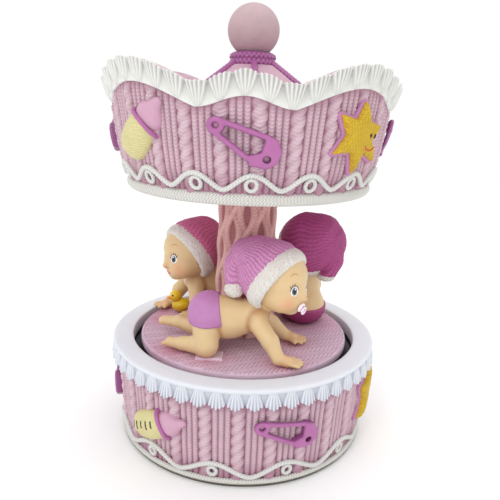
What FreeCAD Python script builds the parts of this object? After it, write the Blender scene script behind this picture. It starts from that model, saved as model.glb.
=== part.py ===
"""Baby carousel music box: a cast-resin carousel turned by a wind-up 18-note movement in its base.

Millimetres, +Z up, origin at the centre of the felt ring's underside, where the box stands.
+X is the side the cylinder and the governor lie on; -Y is the front.
"""

import FreeCAD, Part
import math
import os

V = FreeCAD.Vector
X_AXIS, Y_AXIS, Z_AXIS = V(1, 0, 0), V(0, 1, 0), V(0, 0, 1)
HALF_TURN, FULL_TURN = 180.0, 360.0

# ---- Driving dimensions: the outside -------------------------------------------------
TOTAL_HEIGHT = 170.0
FELT_THICKNESS = 1.2
BASE_TOP = 41.0            # flat white rim of the base, level with the turntable
BASE_RADIUS = 51.8         # knitted wall at its widest
RIM_RADIUS = 54.6          # lace frill round the rim
RECESS_RADIUS = 46.4       # well that the turntable turns in
DECK_TOP, DECK_THICKNESS = 33.5, 2.5
SHELL_INSIDE = 47.2
TURNTABLE_RADIUS, TURNTABLE_THICKNESS = 43.2, 4.0
COLUMN_FOOT_RADIUS, COLUMN_TOP_RADIUS = 12.6, 11.4
CANOPY_BOTTOM = 102.0
CANOPY_RING_RADIUS, CANOPY_RING_HEIGHT = 47.0, 4.2
WAVE_REPEATS = 4           # the canopy's wavy edge has a low peak and a high peak to each repeat
WAVE_PHASE = -92.0         # bearing of one low peak, degrees from +X
VALLEY_TURN = 18.0         # from a low peak to the valley beside it
VALLEY_TOP, PEAK_TOP = 139.7, 146.3
EDGE_RADIUS = 55.4
ROOF_COLLAR_RADIUS, ROOF_COLLAR_BOTTOM, ROOF_COLLAR_TOP = 9.2, 147.4, 153.3
ROOF_EDGE_RADIUS = 47.6
ROOF_SLOPE = 0.69          # fall per unit of radius
BALL_RADIUS = 9.7

# ---- Driving dimensions: the inside --------------------------------------------------
PLATE_BOTTOM, PLATE_THICKNESS = 9.5, 2.5
PILLAR_CIRCLE, PILLAR_RADIUS = 42.6, 3.6
PILLAR_BEARINGS = (75.0, 195.0, 315.0)
SCREW_RADIUS, SCREW_HEAD_RADIUS, SCREW_HEAD = 1.4, 2.6, 1.3
BED_THICKNESS = 2.0
ARBOR_RADIUS = 2.0
RUNNING_CLEARANCE = 0.05
CYLINDER_Z = 21.6          # height of the pinned cylinder's axis
CROWN_TEETH, PINION_TEETH, CROWN_MODULE = 56, 14, 0.5
TRAIN_WHEEL_TEETH, TRAIN_PINION_TEETH, TRAIN_MODULE = 48, 12, 0.3
WORM_WHEEL_TEETH, WORM_MODULE = 24, 0.3
PRESSURE_ANGLE = math.radians(20)
COMB_TEETH = 18
CLICK_TEETH = 12

BED_BOTTOM = PLATE_BOTTOM + PLATE_THICKNESS
BED_TOP = BED_BOTTOM + BED_THICKNESS
TURNTABLE_BOTTOM = BASE_TOP - TURNTABLE_THICKNESS


# ---- Helpers -------------------------------------------------------------------------
def post(radius, bottom, top, x=0.0, y=0.0):
    """Upright cylinder."""
    return Part.makeCylinder(radius, top - bottom, V(x, y, bottom))


def pipe(outer, inner, bottom, top, x=0.0, y=0.0):
    """Upright tube."""
    return post(outer, bottom, top, x, y).cut(post(inner, bottom - 1, top + 1, x, y))


def rod(radius, start, end):
    """Cylinder from one point to another."""
    way = end - start
    return Part.makeCylinder(radius, way.Length, start, way)


def block(low, high):
    """Box between two corners."""
    size = V(*high) - V(*low)
    return Part.makeBox(size.x, size.y, size.z, V(*low))


def around(radius, bearing, z=0.0):
    """Point at a radius and a bearing in degrees from +X."""
    turn = math.radians(bearing)
    return V(radius * math.cos(turn), radius * math.sin(turn), z)


def turned(shape, bearing, centre=V(0, 0, 0), axis=Z_AXIS):
    """Copy of a shape turned about an axis."""
    copy = shape.copy()
    copy.rotate(centre, axis, bearing)
    return copy


def joined(shapes):
    """Shapes fused into one."""
    return shapes[0].multiFuse(shapes[1:]).removeSplitter()


def revolved(points):
    """Solid of revolution about Z from a closed outline of (radius, height)."""
    corners = [V(r, 0, z) for r, z in points]
    outline = Part.makePolygon(corners + corners[:1])
    return Part.Face(outline).revolve(V(0, 0, 0), Z_AXIS, FULL_TURN)


def smooth_edge(points):
    """Spline edge through (radius, height) points in the XZ plane."""
    curve = Part.BSplineCurve()
    curve.interpolate([V(r, 0, z) for r, z in points])
    return curve.toShape()


def line(start, end):
    """Straight edge between two (radius, height) points in the XZ plane."""
    return Part.LineSegment(V(start[0], 0, start[1]), V(end[0], 0, end[1])).toShape()


def limb(start, end, start_radius, end_radius):
    """Tapered limb with round ends."""
    way = end - start
    cone = Part.makeCone(start_radius, end_radius, way.Length, start, way)
    if abs(start_radius - end_radius) < 1e-6:
        cone = Part.makeCylinder(start_radius, way.Length, start, way)
    return [cone, Part.makeSphere(start_radius, start), Part.makeSphere(end_radius, end)]


def screw(x, y, seat, length, head_down=True):
    """Round-head screw with a cross recess. seat is the height that the head's underside bears on."""
    down = -1 if head_down else 1
    low = min(seat, seat + down * SCREW_HEAD)
    head = post(SCREW_HEAD_RADIUS, low, low + SCREW_HEAD, x, y)
    shank_low = min(seat, seat - down * length)
    shank = post(SCREW_RADIUS, shank_low, shank_low + length, x, y)
    face = seat + down * SCREW_HEAD
    slots = []
    for half_x, half_y in ((1.6, 0.3), (0.3, 1.6)):
        slots.append(block((x - half_x, y - half_y, face - 0.6), (x + half_x, y + half_y, face + 0.6)))
    return head.fuse(shank).cut(slots[0].fuse(slots[1]))


# ---- Gears ---------------------------------------------------------------------------
def involute(angle):
    """Involute function of a pressure angle in radians."""
    return math.tan(angle) - angle


def spur_gear(teeth, module, width, thinned, bore):
    """Spur gear on +X from x = 0, a tooth pointing up (+Z). thinned is taken off each tooth's thickness."""
    pitch = module * teeth / 2
    base = pitch * math.cos(PRESSURE_ANGLE)
    tip, root = pitch + 0.8 * module, pitch - 1.1 * module
    half = math.pi / 2 / teeth - thinned / 2 / pitch + involute(PRESSURE_ANGLE)
    radii = [root, max(base, root + 0.01), pitch, tip]
    flank = [(r, half - involute(math.acos(min(1.0, base / r)))) for r in radii]
    points = []
    for tooth in range(teeth):
        centre = 2 * math.pi * tooth / teeth
        for r, a in flank:
            points.append(V(0, r * math.sin(centre - a), r * math.cos(centre - a)))
        for r, a in reversed(flank):
            points.append(V(0, r * math.sin(centre + a), r * math.cos(centre + a)))
    face = Part.Face(Part.makePolygon(points + points[:1]))
    return face.extrude(V(width, 0, 0)).cut(rod(bore, V(-1, 0, 0), V(width + 1, 0, 0)))


CROWN_PITCH_RADIUS = CROWN_MODULE * CROWN_TEETH / 2
PINION_PITCH_RADIUS = CROWN_MODULE * PINION_TEETH / 2
CROWN_PITCH_Z = CYLINDER_Z + PINION_PITCH_RADIUS
CROWN_FACE = 1.8           # width of the crown teeth
GEAR_THINNING = 0.14       # taken off each tooth's thickness for backlash
CROWN_ADDENDUM, CROWN_DEDENDUM = 0.8 * CROWN_MODULE, 1.1 * CROWN_MODULE
WEB_TOP = CROWN_PITCH_Z + CROWN_DEDENDUM + 1.35


def crown_tooth():
    """One tapering tooth of the crown wheel, hanging down, centred on +X."""
    sections = []
    root_z = CROWN_PITCH_Z + CROWN_DEDENDUM + 0.2
    tip_z = CROWN_PITCH_Z - CROWN_ADDENDUM
    for radius in (CROWN_PITCH_RADIUS - CROWN_FACE / 2, CROWN_PITCH_RADIUS + CROWN_FACE / 2):
        widen = radius / CROWN_PITCH_RADIUS
        middle = math.pi * CROWN_MODULE / 4 - GEAR_THINNING / 2
        root_half = widen * (middle + (root_z - CROWN_PITCH_Z) * math.tan(PRESSURE_ANGLE))
        tip_half = widen * (middle - CROWN_ADDENDUM * math.tan(PRESSURE_ANGLE))
        corners = [
            V(radius, -root_half, root_z),
            V(radius, root_half, root_z),
            V(radius, tip_half, tip_z),
            V(radius, -tip_half, tip_z),
        ]
        sections.append(Part.makePolygon(corners + corners[:1]))
    return Part.makeLoft(sections, True, True)


# ---- The base ------------------------------------------------------------------------
def felt_ring():
    return pipe(50.2, 45.2, 0, FELT_THICKNESS)


def base_shell():
    """Hollow resin drum: foot ring, bulging knitted wall, frilled rim, turntable well and deck."""
    foot = FELT_THICKNESS
    frill_bottom = BASE_TOP - 7.4
    wall = smooth_edge([(50.2, 4.6), (50.8, 12), (BASE_RADIUS, 24), (52.4, frill_bottom)])
    edges = [
        line((SHELL_INSIDE, foot), (50.9, foot)),
        line((50.9, foot), (50.9, 4.6)),
        line((50.9, 4.6), (50.2, 4.6)),
        wall,
        line((52.4, frill_bottom), (53.6, frill_bottom)),
        line((53.6, frill_bottom), (RIM_RADIUS, BASE_TOP - 2)),
        line((RIM_RADIUS, BASE_TOP - 2), (RIM_RADIUS - 1.6, BASE_TOP)),
        line((RIM_RADIUS - 1.6, BASE_TOP), (RECESS_RADIUS, BASE_TOP)),
        line((RECESS_RADIUS, BASE_TOP), (RECESS_RADIUS, DECK_TOP)),
        line((RECESS_RADIUS, DECK_TOP), (7.0, DECK_TOP)),
        line((7.0, DECK_TOP), (7.0, DECK_TOP - DECK_THICKNESS)),
        line((7.0, DECK_TOP - DECK_THICKNESS), (SHELL_INSIDE, DECK_TOP - DECK_THICKNESS)),
        line((SHELL_INSIDE, DECK_TOP - DECK_THICKNESS), (SHELL_INSIDE, foot)),
    ]
    drum = Part.Face(Part.Wire(edges)).revolve(V(0, 0, 0), Z_AXIS, FULL_TURN)
    pillars = []
    holes = []
    for bearing in PILLAR_BEARINGS:
        at = around(PILLAR_CIRCLE, bearing)
        pillars.append(post(PILLAR_RADIUS, BED_BOTTOM, DECK_TOP - 0.5, at.x, at.y))
        web = block((PILLAR_CIRCLE, -1.5, BED_BOTTOM), (SHELL_INSIDE + 0.8, 1.5, DECK_TOP - 0.5))
        pillars.append(turned(web, bearing))
        holes.append(post(SCREW_RADIUS, BED_BOTTOM - 1, BED_BOTTOM + 9, at.x, at.y))
    return joined([drum] + pillars).cut(joined(holes))


MOVEMENT_SCREWS = ((-10.5, -14.5), (-10.5, 17.5), (26.0, -14.5))


def bottom_plate():
    """Round board that closes the drum and carries the movement."""
    board = post(SHELL_INSIDE - 0.3, PLATE_BOTTOM, BED_BOTTOM)
    cuts = [post(5.0, PLATE_BOTTOM - 1, BED_BOTTOM + 1)]
    for bearing in PILLAR_BEARINGS:
        at = around(PILLAR_CIRCLE, bearing)
        cuts.append(post(SCREW_RADIUS, PLATE_BOTTOM - 1, BED_BOTTOM + 1, at.x, at.y))
    for x, y in MOVEMENT_SCREWS:
        cuts.append(post(SCREW_RADIUS, PLATE_BOTTOM - 1, BED_BOTTOM + 1, x, y))
    return board.cut(joined(cuts))


def plate_screws():
    screws = []
    for bearing in PILLAR_BEARINGS:
        at = around(PILLAR_CIRCLE, bearing)
        screws.append(screw(at.x, at.y, PLATE_BOTTOM, 9.0))
    return Part.makeCompound(screws)


def movement_screws():
    length = PLATE_THICKNESS + BED_THICKNESS
    return Part.makeCompound([screw(x, y, PLATE_BOTTOM, length) for x, y in MOVEMENT_SCREWS])


# ---- The movement: fixed parts -------------------------------------------------------
HOUSING_RADIUS, HOUSING_TOP = 12.0, 23.2
PINION_X = CROWN_PITCH_RADIUS - CROWN_FACE / 2 - 0.1
PINION_WIDTH = CROWN_FACE + 0.2
INNER_LUG = (15.9, 17.1)
DRUM_SPAN = (17.6, 33.2)
DRUM_RADIUS, PIN_HEIGHT = 6.4, 0.45
TRAIN_WHEEL_X, TRAIN_WHEEL_WIDTH = 33.7, 1.0
OUTER_LUG = (35.2, 36.6)
CYLINDER_ARBOR_RADIUS = 0.9
TRAIN_DISTANCE = TRAIN_MODULE * (TRAIN_WHEEL_TEETH + TRAIN_PINION_TEETH) / 2
GOVERNOR_Y = -TRAIN_DISTANCE
WORM_RADIUS = 1.2
WORM_WHEEL_X = 35.6
WORM_WHEEL_WIDTH = 1.0
WORM_Y = GOVERNOR_Y - WORM_MODULE * WORM_WHEEL_TEETH / 2 - WORM_RADIUS
WORM_X = WORM_WHEEL_X + WORM_WHEEL_WIDTH / 2
COMB_LEVEL, COMB_THICKNESS = CYLINDER_Z - 0.4, 0.8
COMB_TIP_Y = DRUM_RADIUS + PIN_HEIGHT + 0.3
COMB_BACK_Y = 24.0
HOUSING_TABS = (50.0, 170.0, 290.0)
BED_EDGE = 39.4


def bedplate():
    """Zinc bedplate with the comb's pedestal and the cylinder's two bearing lugs cast on."""
    plate = block((-15, -18.5, BED_BOTTOM), (BED_EDGE, 25, BED_TOP))
    for corner_y, way in ((-18.5, 1), (25, -1)):
        corners = [
            V(BED_EDGE, corner_y, BED_BOTTOM),
            V(BED_EDGE, corner_y + 5 * way, BED_BOTTOM),
            V(BED_EDGE - 5, corner_y, BED_BOTTOM),
        ]
        corner = Part.Face(Part.makePolygon(corners + corners[:1]))
        plate = plate.cut(corner.extrude(V(0, 0, BED_THICKNESS)))
    lugs = []
    for low, high in (INNER_LUG, OUTER_LUG):
        lugs.append(block((low, -2, BED_TOP - 0.5), (high, 2, CYLINDER_Z)))
        lugs.append(rod(2, V(low, 0, CYLINDER_Z), V(high, 0, CYLINDER_Z)))
    pedestal = block((DRUM_SPAN[0], 17.5, BED_TOP - 0.5), (DRUM_SPAN[1] - 0.6, 24.6, COMB_LEVEL))
    holes = [post(ARBOR_RADIUS + RUNNING_CLEARANCE, BED_BOTTOM - 1, BED_TOP + 1)]
    holes += [post(SCREW_RADIUS, BED_BOTTOM - 1, BED_TOP + 1, x, y) for x, y in MOVEMENT_SCREWS]
    for x, y in COMB_SCREWS:
        holes.append(post(COMB_SCREW_RADIUS, COMB_LEVEL - 4, COMB_LEVEL + 1, x, y))
    for x, y in housing_screw_places() + list(GOVERNOR_SCREWS):
        holes.append(post(SMALL_SCREW_RADIUS, BED_BOTTOM - 1, BED_TOP + 1, x, y))
    bore = CYLINDER_ARBOR_RADIUS + RUNNING_CLEARANCE
    holes.append(rod(bore, V(INNER_LUG[0] - 1, 0, CYLINDER_Z), V(OUTER_LUG[1] + 1, 0, CYLINDER_Z)))
    # clearance well under the train wheel's rim
    well_low, well_high = TRAIN_WHEEL_X - 0.4, TRAIN_WHEEL_X + TRAIN_WHEEL_WIDTH + 0.4
    well_radius = TRAIN_MODULE * TRAIN_WHEEL_TEETH / 2 + 0.6
    holes.append(rod(well_radius, V(well_low, 0, CYLINDER_Z), V(well_high, 0, CYLINDER_Z)))
    return joined([plate, pedestal] + lugs).cut(joined(holes))


COMB_SCREW_RADIUS = 1.2
COMB_SCREWS = ((21.4, 21.2), (29.0, 21.2))
SMALL_SCREW_RADIUS = 0.8
GOVERNOR_SCREWS = ((28.6, WORM_Y + 4.2),)


def housing_screw_places():
    places = []
    for bearing in HOUSING_TABS:
        at = around(HOUSING_RADIUS + 1.7, bearing)
        places.append((at.x, at.y))
    return places


def small_screw(x, y, seat, length):
    """Cheese-head screw with one slot, driven from above."""
    head = post(1.5, seat, seat + 0.9, x, y)
    shank = post(SMALL_SCREW_RADIUS, seat - length, seat, x, y)
    slot = block((x - 2, y - 0.2, seat + 0.5), (x + 2, y + 0.2, seat + 1))
    return head.fuse(shank).cut(slot)


def spring_housing():
    """Pressed cup that holds the mainspring, with three screw tabs."""
    outer = post(HOUSING_RADIUS, BED_TOP, HOUSING_TOP)
    hollow = post(HOUSING_RADIUS - 0.7, BED_TOP - 1, HOUSING_TOP - 0.7)
    hole = post(ARBOR_RADIUS + RUNNING_CLEARANCE, HOUSING_TOP - 2, HOUSING_TOP + 1)
    cup = outer.cut(hollow).cut(hole)
    tabs = []
    for bearing, (x, y) in zip(HOUSING_TABS, housing_screw_places()):
        strip = block((HOUSING_RADIUS - 0.4, -2.1, BED_TOP), (HOUSING_RADIUS + 1.7, 2.1, BED_TOP + 0.8))
        tab = turned(strip, bearing).fuse(post(2.1, BED_TOP, BED_TOP + 0.8, x, y))
        tabs.append(tab.cut(post(SMALL_SCREW_RADIUS, BED_TOP - 1, BED_TOP + 2, x, y)))
    return joined([cup] + tabs)


def housing_screws():
    seat = BED_TOP + 0.8
    screws = [small_screw(x, y, seat, BED_THICKNESS + 0.8) for x, y in housing_screw_places()]
    return Part.makeCompound(screws)


def mainspring():
    """Coiled steel strip, wound evenly between the arbor and the housing wall."""
    turns, inner, outer, strip = 8, 3.1, HOUSING_RADIUS - 0.8, 0.38
    steps = turns * 12
    rails = []
    for offset in (0.0, strip):
        points = []
        for step in range(steps + 1):
            turn = 2 * math.pi * turns * step / steps
            r = inner + (outer - strip - inner) * step / steps + offset
            points.append(V(r * math.cos(turn), r * math.sin(turn), BED_TOP + 0.8))
        curve = Part.BSplineCurve()
        curve.interpolate(points)
        rails.append((curve.toShape(), points[0], points[-1]))
    ends = [Part.LineSegment(rails[0][k], rails[1][k]).toShape() for k in (1, 2)]
    outline = Part.Wire(Part.__sortEdges__([rails[0][0], ends[1], rails[1][0], ends[0]]))
    return Part.Face(outline).extrude(V(0, 0, 6.8))


def comb():
    """Tuned steel comb: the teeth lengthen towards the bass end."""
    low_x, high_x = DRUM_SPAN[0] + 0.1, DRUM_SPAN[1] - 0.7
    pitch = (high_x - low_x) / COMB_TEETH
    slot = 0.24
    points = [V(low_x, COMB_BACK_Y, COMB_LEVEL), V(low_x, COMB_TIP_Y, COMB_LEVEL)]
    for tooth in range(1, COMB_TEETH):
        x = low_x + tooth * pitch
        root_y = 15.6 + 1.6 * tooth / COMB_TEETH
        points += [
            V(x - slot / 2, COMB_TIP_Y, COMB_LEVEL),
            V(x - slot / 2, root_y, COMB_LEVEL),
            V(x + slot / 2, root_y, COMB_LEVEL),
            V(x + slot / 2, COMB_TIP_Y, COMB_LEVEL),
        ]
    points += [V(high_x, COMB_TIP_Y, COMB_LEVEL), V(high_x, COMB_BACK_Y, COMB_LEVEL)]
    plate = Part.Face(Part.makePolygon(points + points[:1])).extrude(V(0, 0, COMB_THICKNESS))
    holes = [post(COMB_SCREW_RADIUS, COMB_LEVEL - 1, COMB_LEVEL + 2, x, y) for x, y in COMB_SCREWS]
    return plate.cut(joined(holes))


def comb_screws():
    screws = []
    seat = COMB_LEVEL + COMB_THICKNESS
    for x, y in COMB_SCREWS:
        head = post(2.2, seat, seat + 1.2, x, y)
        shank = post(COMB_SCREW_RADIUS, seat - 4.0, seat, x, y)
        slot = block((x - 3, y - 0.3, seat + 0.6), (x + 3, y + 0.3, seat + 2))
        screws.append(head.fuse(shank).cut(slot))
    return Part.makeCompound(screws)


GOVERNOR_ARBOR_RADIUS = 0.5
WORM_SHAFT_RADIUS = 0.5
FRAME_TOP = 25.9
FRAME_CHEEK = 1.0
FRAME_INNER_X, FRAME_OUTER_X = 31.9, 38.1


def governor_frame():
    """Bracket with two cheeks for the governor wheel's arbor and two arms for the worm shaft."""
    foot = block((26.4, WORM_Y + 2.2, BED_TOP), (37.4, GOVERNOR_Y + 1.0, BED_TOP + 1))
    cheeks = []
    cheek_top = CYLINDER_Z + 1.5
    for x in (FRAME_INNER_X - 0.4, FRAME_OUTER_X - 0.4):
        cheeks.append(block((x, GOVERNOR_Y - 1.2, BED_TOP), (x + FRAME_CHEEK, GOVERNOR_Y + 1.2, cheek_top)))
    outer_x = FRAME_OUTER_X - 0.4
    sole = block((37.0, WORM_Y - 1.6, BED_TOP), (outer_x + FRAME_CHEEK, GOVERNOR_Y + 1.2, BED_TOP + 1))
    spine = block((outer_x, WORM_Y - 1.6, BED_TOP), (outer_x + FRAME_CHEEK, WORM_Y + 1.6, FRAME_TOP))
    arm = block((WORM_X - 1.4, WORM_Y - 1.6, FRAME_TOP - 1), (outer_x + FRAME_CHEEK, WORM_Y + 1.6, FRAME_TOP))
    shelf = block((WORM_X - 1.4, WORM_Y - 1.6, BED_TOP), (outer_x + FRAME_CHEEK, WORM_Y + 1.6, BED_TOP + 1.2))
    bore = GOVERNOR_ARBOR_RADIUS + RUNNING_CLEARANCE
    holes = [rod(bore, V(30, GOVERNOR_Y, CYLINDER_Z), V(40, GOVERNOR_Y, CYLINDER_Z))]
    holes.append(post(WORM_SHAFT_RADIUS + RUNNING_CLEARANCE, BED_TOP + 0.3, FRAME_TOP + 1, WORM_X, WORM_Y))
    holes += [post(SMALL_SCREW_RADIUS, BED_TOP - 1, BED_TOP + 2, x, y) for x, y in GOVERNOR_SCREWS]
    return joined([foot, sole, spine, arm, shelf] + cheeks).cut(joined(holes))


def governor_screw():
    return small_screw(GOVERNOR_SCREWS[0][0], GOVERNOR_SCREWS[0][1], BED_TOP + 1, BED_THICKNESS + 1)


# ---- The movement: moving parts ------------------------------------------------------
def on_cylinder_axis(shape, x):
    shape.translate(V(x, 0, CYLINDER_Z))
    return shape


def cylinder_pinion():
    gear = spur_gear(PINION_TEETH, CROWN_MODULE, PINION_WIDTH, GEAR_THINNING, CYLINDER_ARBOR_RADIUS)
    return on_cylinder_axis(gear, PINION_X)


def train_wheel():
    gear = spur_gear(TRAIN_WHEEL_TEETH, TRAIN_MODULE, TRAIN_WHEEL_WIDTH, 0.06, CYLINDER_ARBOR_RADIUS)
    return on_cylinder_axis(gear, TRAIN_WHEEL_X)


def cylinder_arbor():
    return rod(CYLINDER_ARBOR_RADIUS, V(PINION_X - 0.1, 0, CYLINDER_Z), V(OUTER_LUG[1] + 0.4, 0, CYLINDER_Z))


def tune_cylinder():
    """Brass cylinder with end caps and one raised pin per note, set out in eighteen tracks."""
    low, high = V(DRUM_SPAN[0], 0, CYLINDER_Z), V(DRUM_SPAN[1], 0, CYLINDER_Z)
    drum = rod(DRUM_RADIUS, low, high).cut(rod(CYLINDER_ARBOR_RADIUS, low - X_AXIS, high + X_AXIS))
    pins = []
    track = (DRUM_SPAN[1] - DRUM_SPAN[0] - 0.8) / COMB_TEETH
    for note in range(COMB_TEETH):
        for beat in range(5):
            turn = FULL_TURN * ((note * 7 + beat * 11) % 48) / 48
            x = DRUM_SPAN[0] + 0.1 + track * (note + 0.5)
            foot = V(x, 0, CYLINDER_Z + DRUM_RADIUS - 0.3)
            pin = Part.makeCylinder(0.16, PIN_HEIGHT + 0.3, foot, Z_AXIS)
            pins.append(turned(pin, turn, V(0, 0, CYLINDER_Z), X_AXIS))
    return drum.multiFuse(pins)


def governor_wheel():
    """Arbor with the train pinion and the worm wheel."""
    pinion = spur_gear(TRAIN_PINION_TEETH, TRAIN_MODULE, TRAIN_WHEEL_WIDTH + 0.2, 0.06, GOVERNOR_ARBOR_RADIUS)
    # a space of the pinion faces the train wheel's tooth on +Y
    pinion = turned(pinion, HALF_TURN / TRAIN_PINION_TEETH, axis=X_AXIS)
    pinion.translate(V(TRAIN_WHEEL_X - 0.1, GOVERNOR_Y, CYLINDER_Z))
    wheel = spur_gear(WORM_WHEEL_TEETH, WORM_MODULE, WORM_WHEEL_WIDTH, 0.12, GOVERNOR_ARBOR_RADIUS)
    wheel.translate(V(WORM_WHEEL_X, GOVERNOR_Y, CYLINDER_Z))
    ends = [V(x, GOVERNOR_Y, CYLINDER_Z) for x in (FRAME_INNER_X - 0.4, FRAME_OUTER_X + 0.6)]
    arbor = rod(GOVERNOR_ARBOR_RADIUS, *ends)
    ends = [V(x, GOVERNOR_Y, CYLINDER_Z) for x in (TRAIN_WHEEL_X, WORM_WHEEL_X + WORM_WHEEL_WIDTH)]
    sleeve = rod(0.9, *ends)
    return joined([arbor, sleeve, pinion, wheel])


def governor_worm():
    """Single-start worm on its shaft."""
    lead = math.pi * WORM_MODULE
    length = 5 * lead
    start = CYLINDER_Z - length / 2
    core = post(WORM_RADIUS - 0.34, start, start + length, WORM_X, WORM_Y)
    shaft = post(WORM_SHAFT_RADIUS, BED_TOP + 0.35, FAN_BOTTOM + 3.4, WORM_X, WORM_Y)
    helix = Part.makeHelix(lead, length - lead, WORM_RADIUS - 0.3)
    half_root, half_tip, depth = 0.19, 0.07, 0.5
    inner = WORM_RADIUS - 0.45
    outline = ((inner, -half_root), (inner, half_root), (inner + depth, half_tip), (inner + depth, -half_tip))
    corners = [V(r, 0, z) for r, z in outline]
    section = Part.makePolygon(corners + corners[:1])
    thread = Part.Wire(helix).makePipeShell([section], True, True)
    thread.rotate(V(0, 0, 0), Z_AXIS, WORM_PHASE)
    thread.translate(V(WORM_X, WORM_Y, start + lead / 2))
    return joined([core, shaft, thread])


WORM_PHASE = -90.0
FAN_BOTTOM = 26.3


def governor_fan():
    """Two-winged air brake pressed on the worm shaft."""
    hub = pipe(1.1, WORM_SHAFT_RADIUS, FAN_BOTTOM, FAN_BOTTOM + 3.2, WORM_X, WORM_Y)
    wings = []
    for way in (-1, 1):
        low = min(way * 0.9, way * 4.0)
        high = (WORM_X + 0.2, WORM_Y + low + 3.1, FAN_BOTTOM + 3.2)
        wings.append(block((WORM_X - 0.2, WORM_Y + low, FAN_BOTTOM), high))
    return joined([hub] + wings)


def crown_wheel():
    """Main wheel: crown teeth below, ratchet click above, free to turn on the winding arbor."""
    web = post(CROWN_PITCH_RADIUS + 1.2, CROWN_PITCH_Z + CROWN_DEDENDUM, WEB_TOP)
    hub = post(4.0, HOUSING_TOP + 0.3, WEB_TOP)
    pitch = FULL_TURN / CROWN_TEETH
    teeth = [turned(crown_tooth(), pitch * (n + 0.5)) for n in range(CROWN_TEETH)]
    wheel = joined([web, hub] + teeth)
    holes = [post(ARBOR_RADIUS + RUNNING_CLEARANCE, HOUSING_TOP - 1, WEB_TOP + 1)]
    at = around(CLICK_PIVOT_RADIUS, CLICK_PIVOT_BEARING)
    holes.append(post(0.7, WEB_TOP - 0.9, WEB_TOP + 1, at.x, at.y))
    return wheel.cut(joined(holes))


RATCHET_OUTER, RATCHET_INNER, RATCHET_THICKNESS = 5.2, 4.3, 1.2
RATCHET_BOTTOM = WEB_TOP + 0.35
CLICK_PIVOT_RADIUS, CLICK_PIVOT_BEARING = 8.4, 0.0
SPIDER_BOTTOM = RATCHET_BOTTOM + RATCHET_THICKNESS + 0.5
SPIDER_TOP = SPIDER_BOTTOM + 1.0
SPIDER_LEG_CIRCLE = 12.0


def ratchet_wheel():
    """Twelve saw teeth, square-bored on the arbor."""
    points = []
    for tooth in range(CLICK_TEETH):
        bearing = FULL_TURN * tooth / CLICK_TEETH
        points.append(around(RATCHET_INNER, bearing - 1.0, RATCHET_BOTTOM))
        points.append(around(RATCHET_OUTER, bearing, RATCHET_BOTTOM))
    disc = Part.Face(Part.makePolygon(points + points[:1])).extrude(V(0, 0, RATCHET_THICKNESS))
    square = block((-1.3, -1.3, RATCHET_BOTTOM - 1), (1.3, 1.3, RATCHET_BOTTOM + 3))
    return disc.cut(square)


def click_pawl():
    """Pawl on its stud, lifted just clear of the ratchet teeth."""
    at = around(CLICK_PIVOT_RADIUS, CLICK_PIVOT_BEARING)
    eye = post(1.3, RATCHET_BOTTOM, RATCHET_BOTTOM + RATCHET_THICKNESS, at.x, at.y)
    stud = post(0.65, WEB_TOP - 0.85, RATCHET_BOTTOM + RATCHET_THICKNESS + 0.3, at.x, at.y)
    z = RATCHET_BOTTOM
    beak = around(RATCHET_OUTER + 0.35, CLICK_PIVOT_BEARING + 48, z)
    corners = [
        V(at.x - 0.2, at.y + 1.2, z),
        V(at.x + 1.25, at.y + 0.3, z),
        around(RATCHET_OUTER + 1.6, CLICK_PIVOT_BEARING + 50, z),
        beak,
    ]
    arm = Part.Face(Part.makePolygon(corners + corners[:1])).extrude(V(0, 0, RATCHET_THICKNESS))
    return joined([eye, stud, arm])


def drive_spider():
    """Three-legged bridge over the ratchet that carries the drive up to the turntable."""
    disc = post(SPIDER_LEG_CIRCLE + 1.6, SPIDER_BOTTOM, SPIDER_TOP)
    stub = post(3.0, SPIDER_BOTTOM, TURNTABLE_BOTTOM + 1.4)
    flat = block((2.2, -5, SPIDER_TOP + 2), (6, 5, TURNTABLE_BOTTOM + 2))
    legs = [post(1.3, WEB_TOP, SPIDER_TOP, *around(SPIDER_LEG_CIRCLE, b)[:2]) for b in (60, 180, 300)]
    return joined([disc, stub] + legs).cut(flat)


def turntable_hub():
    """Flanged brass hub screwed under the turntable, keyed by a flat to the spider's stub."""
    flange = post(11.0, TURNTABLE_BOTTOM - 1.5, TURNTABLE_BOTTOM)
    neck = post(5.5, DECK_TOP - 0.6, TURNTABLE_BOTTOM)
    bore = post(3.0, DECK_TOP - 2, TURNTABLE_BOTTOM + 1)
    bore = bore.cut(block((2.2, -5, DECK_TOP - 3), (6, 5, TURNTABLE_BOTTOM + 2)))
    holes = []
    for bearing in HUB_SCREW_BEARINGS:
        at = around(8.4, bearing)
        holes.append(post(SMALL_SCREW_RADIUS, TURNTABLE_BOTTOM - 3, TURNTABLE_BOTTOM + 1, at.x, at.y))
    return joined([flange, neck]).cut(bore).cut(joined(holes))


HUB_SCREW_BEARINGS = (30.0, 150.0, 270.0)


def hub_screws():
    screws = []
    for bearing in HUB_SCREW_BEARINGS:
        at = around(8.4, bearing)
        seat = TURNTABLE_BOTTOM - 1.5
        head = post(1.5, seat - 0.8, seat, at.x, at.y)
        shank = post(SMALL_SCREW_RADIUS, seat, TURNTABLE_BOTTOM + 1.2, at.x, at.y)
        slot = block((at.x - 2, at.y - 0.2, seat - 1), (at.x + 2, at.y + 0.2, seat - 0.4))
        screws.append(head.fuse(shank).cut(slot))
    return Part.makeCompound(screws)


def winding_arbor():
    """Steel arbor: key thread below, spring boss in the housing, square for the ratchet on top."""
    shaft = post(ARBOR_RADIUS, PLATE_BOTTOM, RATCHET_BOTTOM)
    thread = post(1.6, 3.6, PLATE_BOTTOM)
    boss = post(2.8, BED_TOP + 0.3, HOUSING_TOP - 1.0)
    square = block((-1.3, -1.3, RATCHET_BOTTOM - 1), (1.3, 1.3, RATCHET_BOTTOM + RATCHET_THICKNESS + 0.2))
    return joined([shaft, thread, boss, square])


KEY_BOTTOM = 2.4


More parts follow.
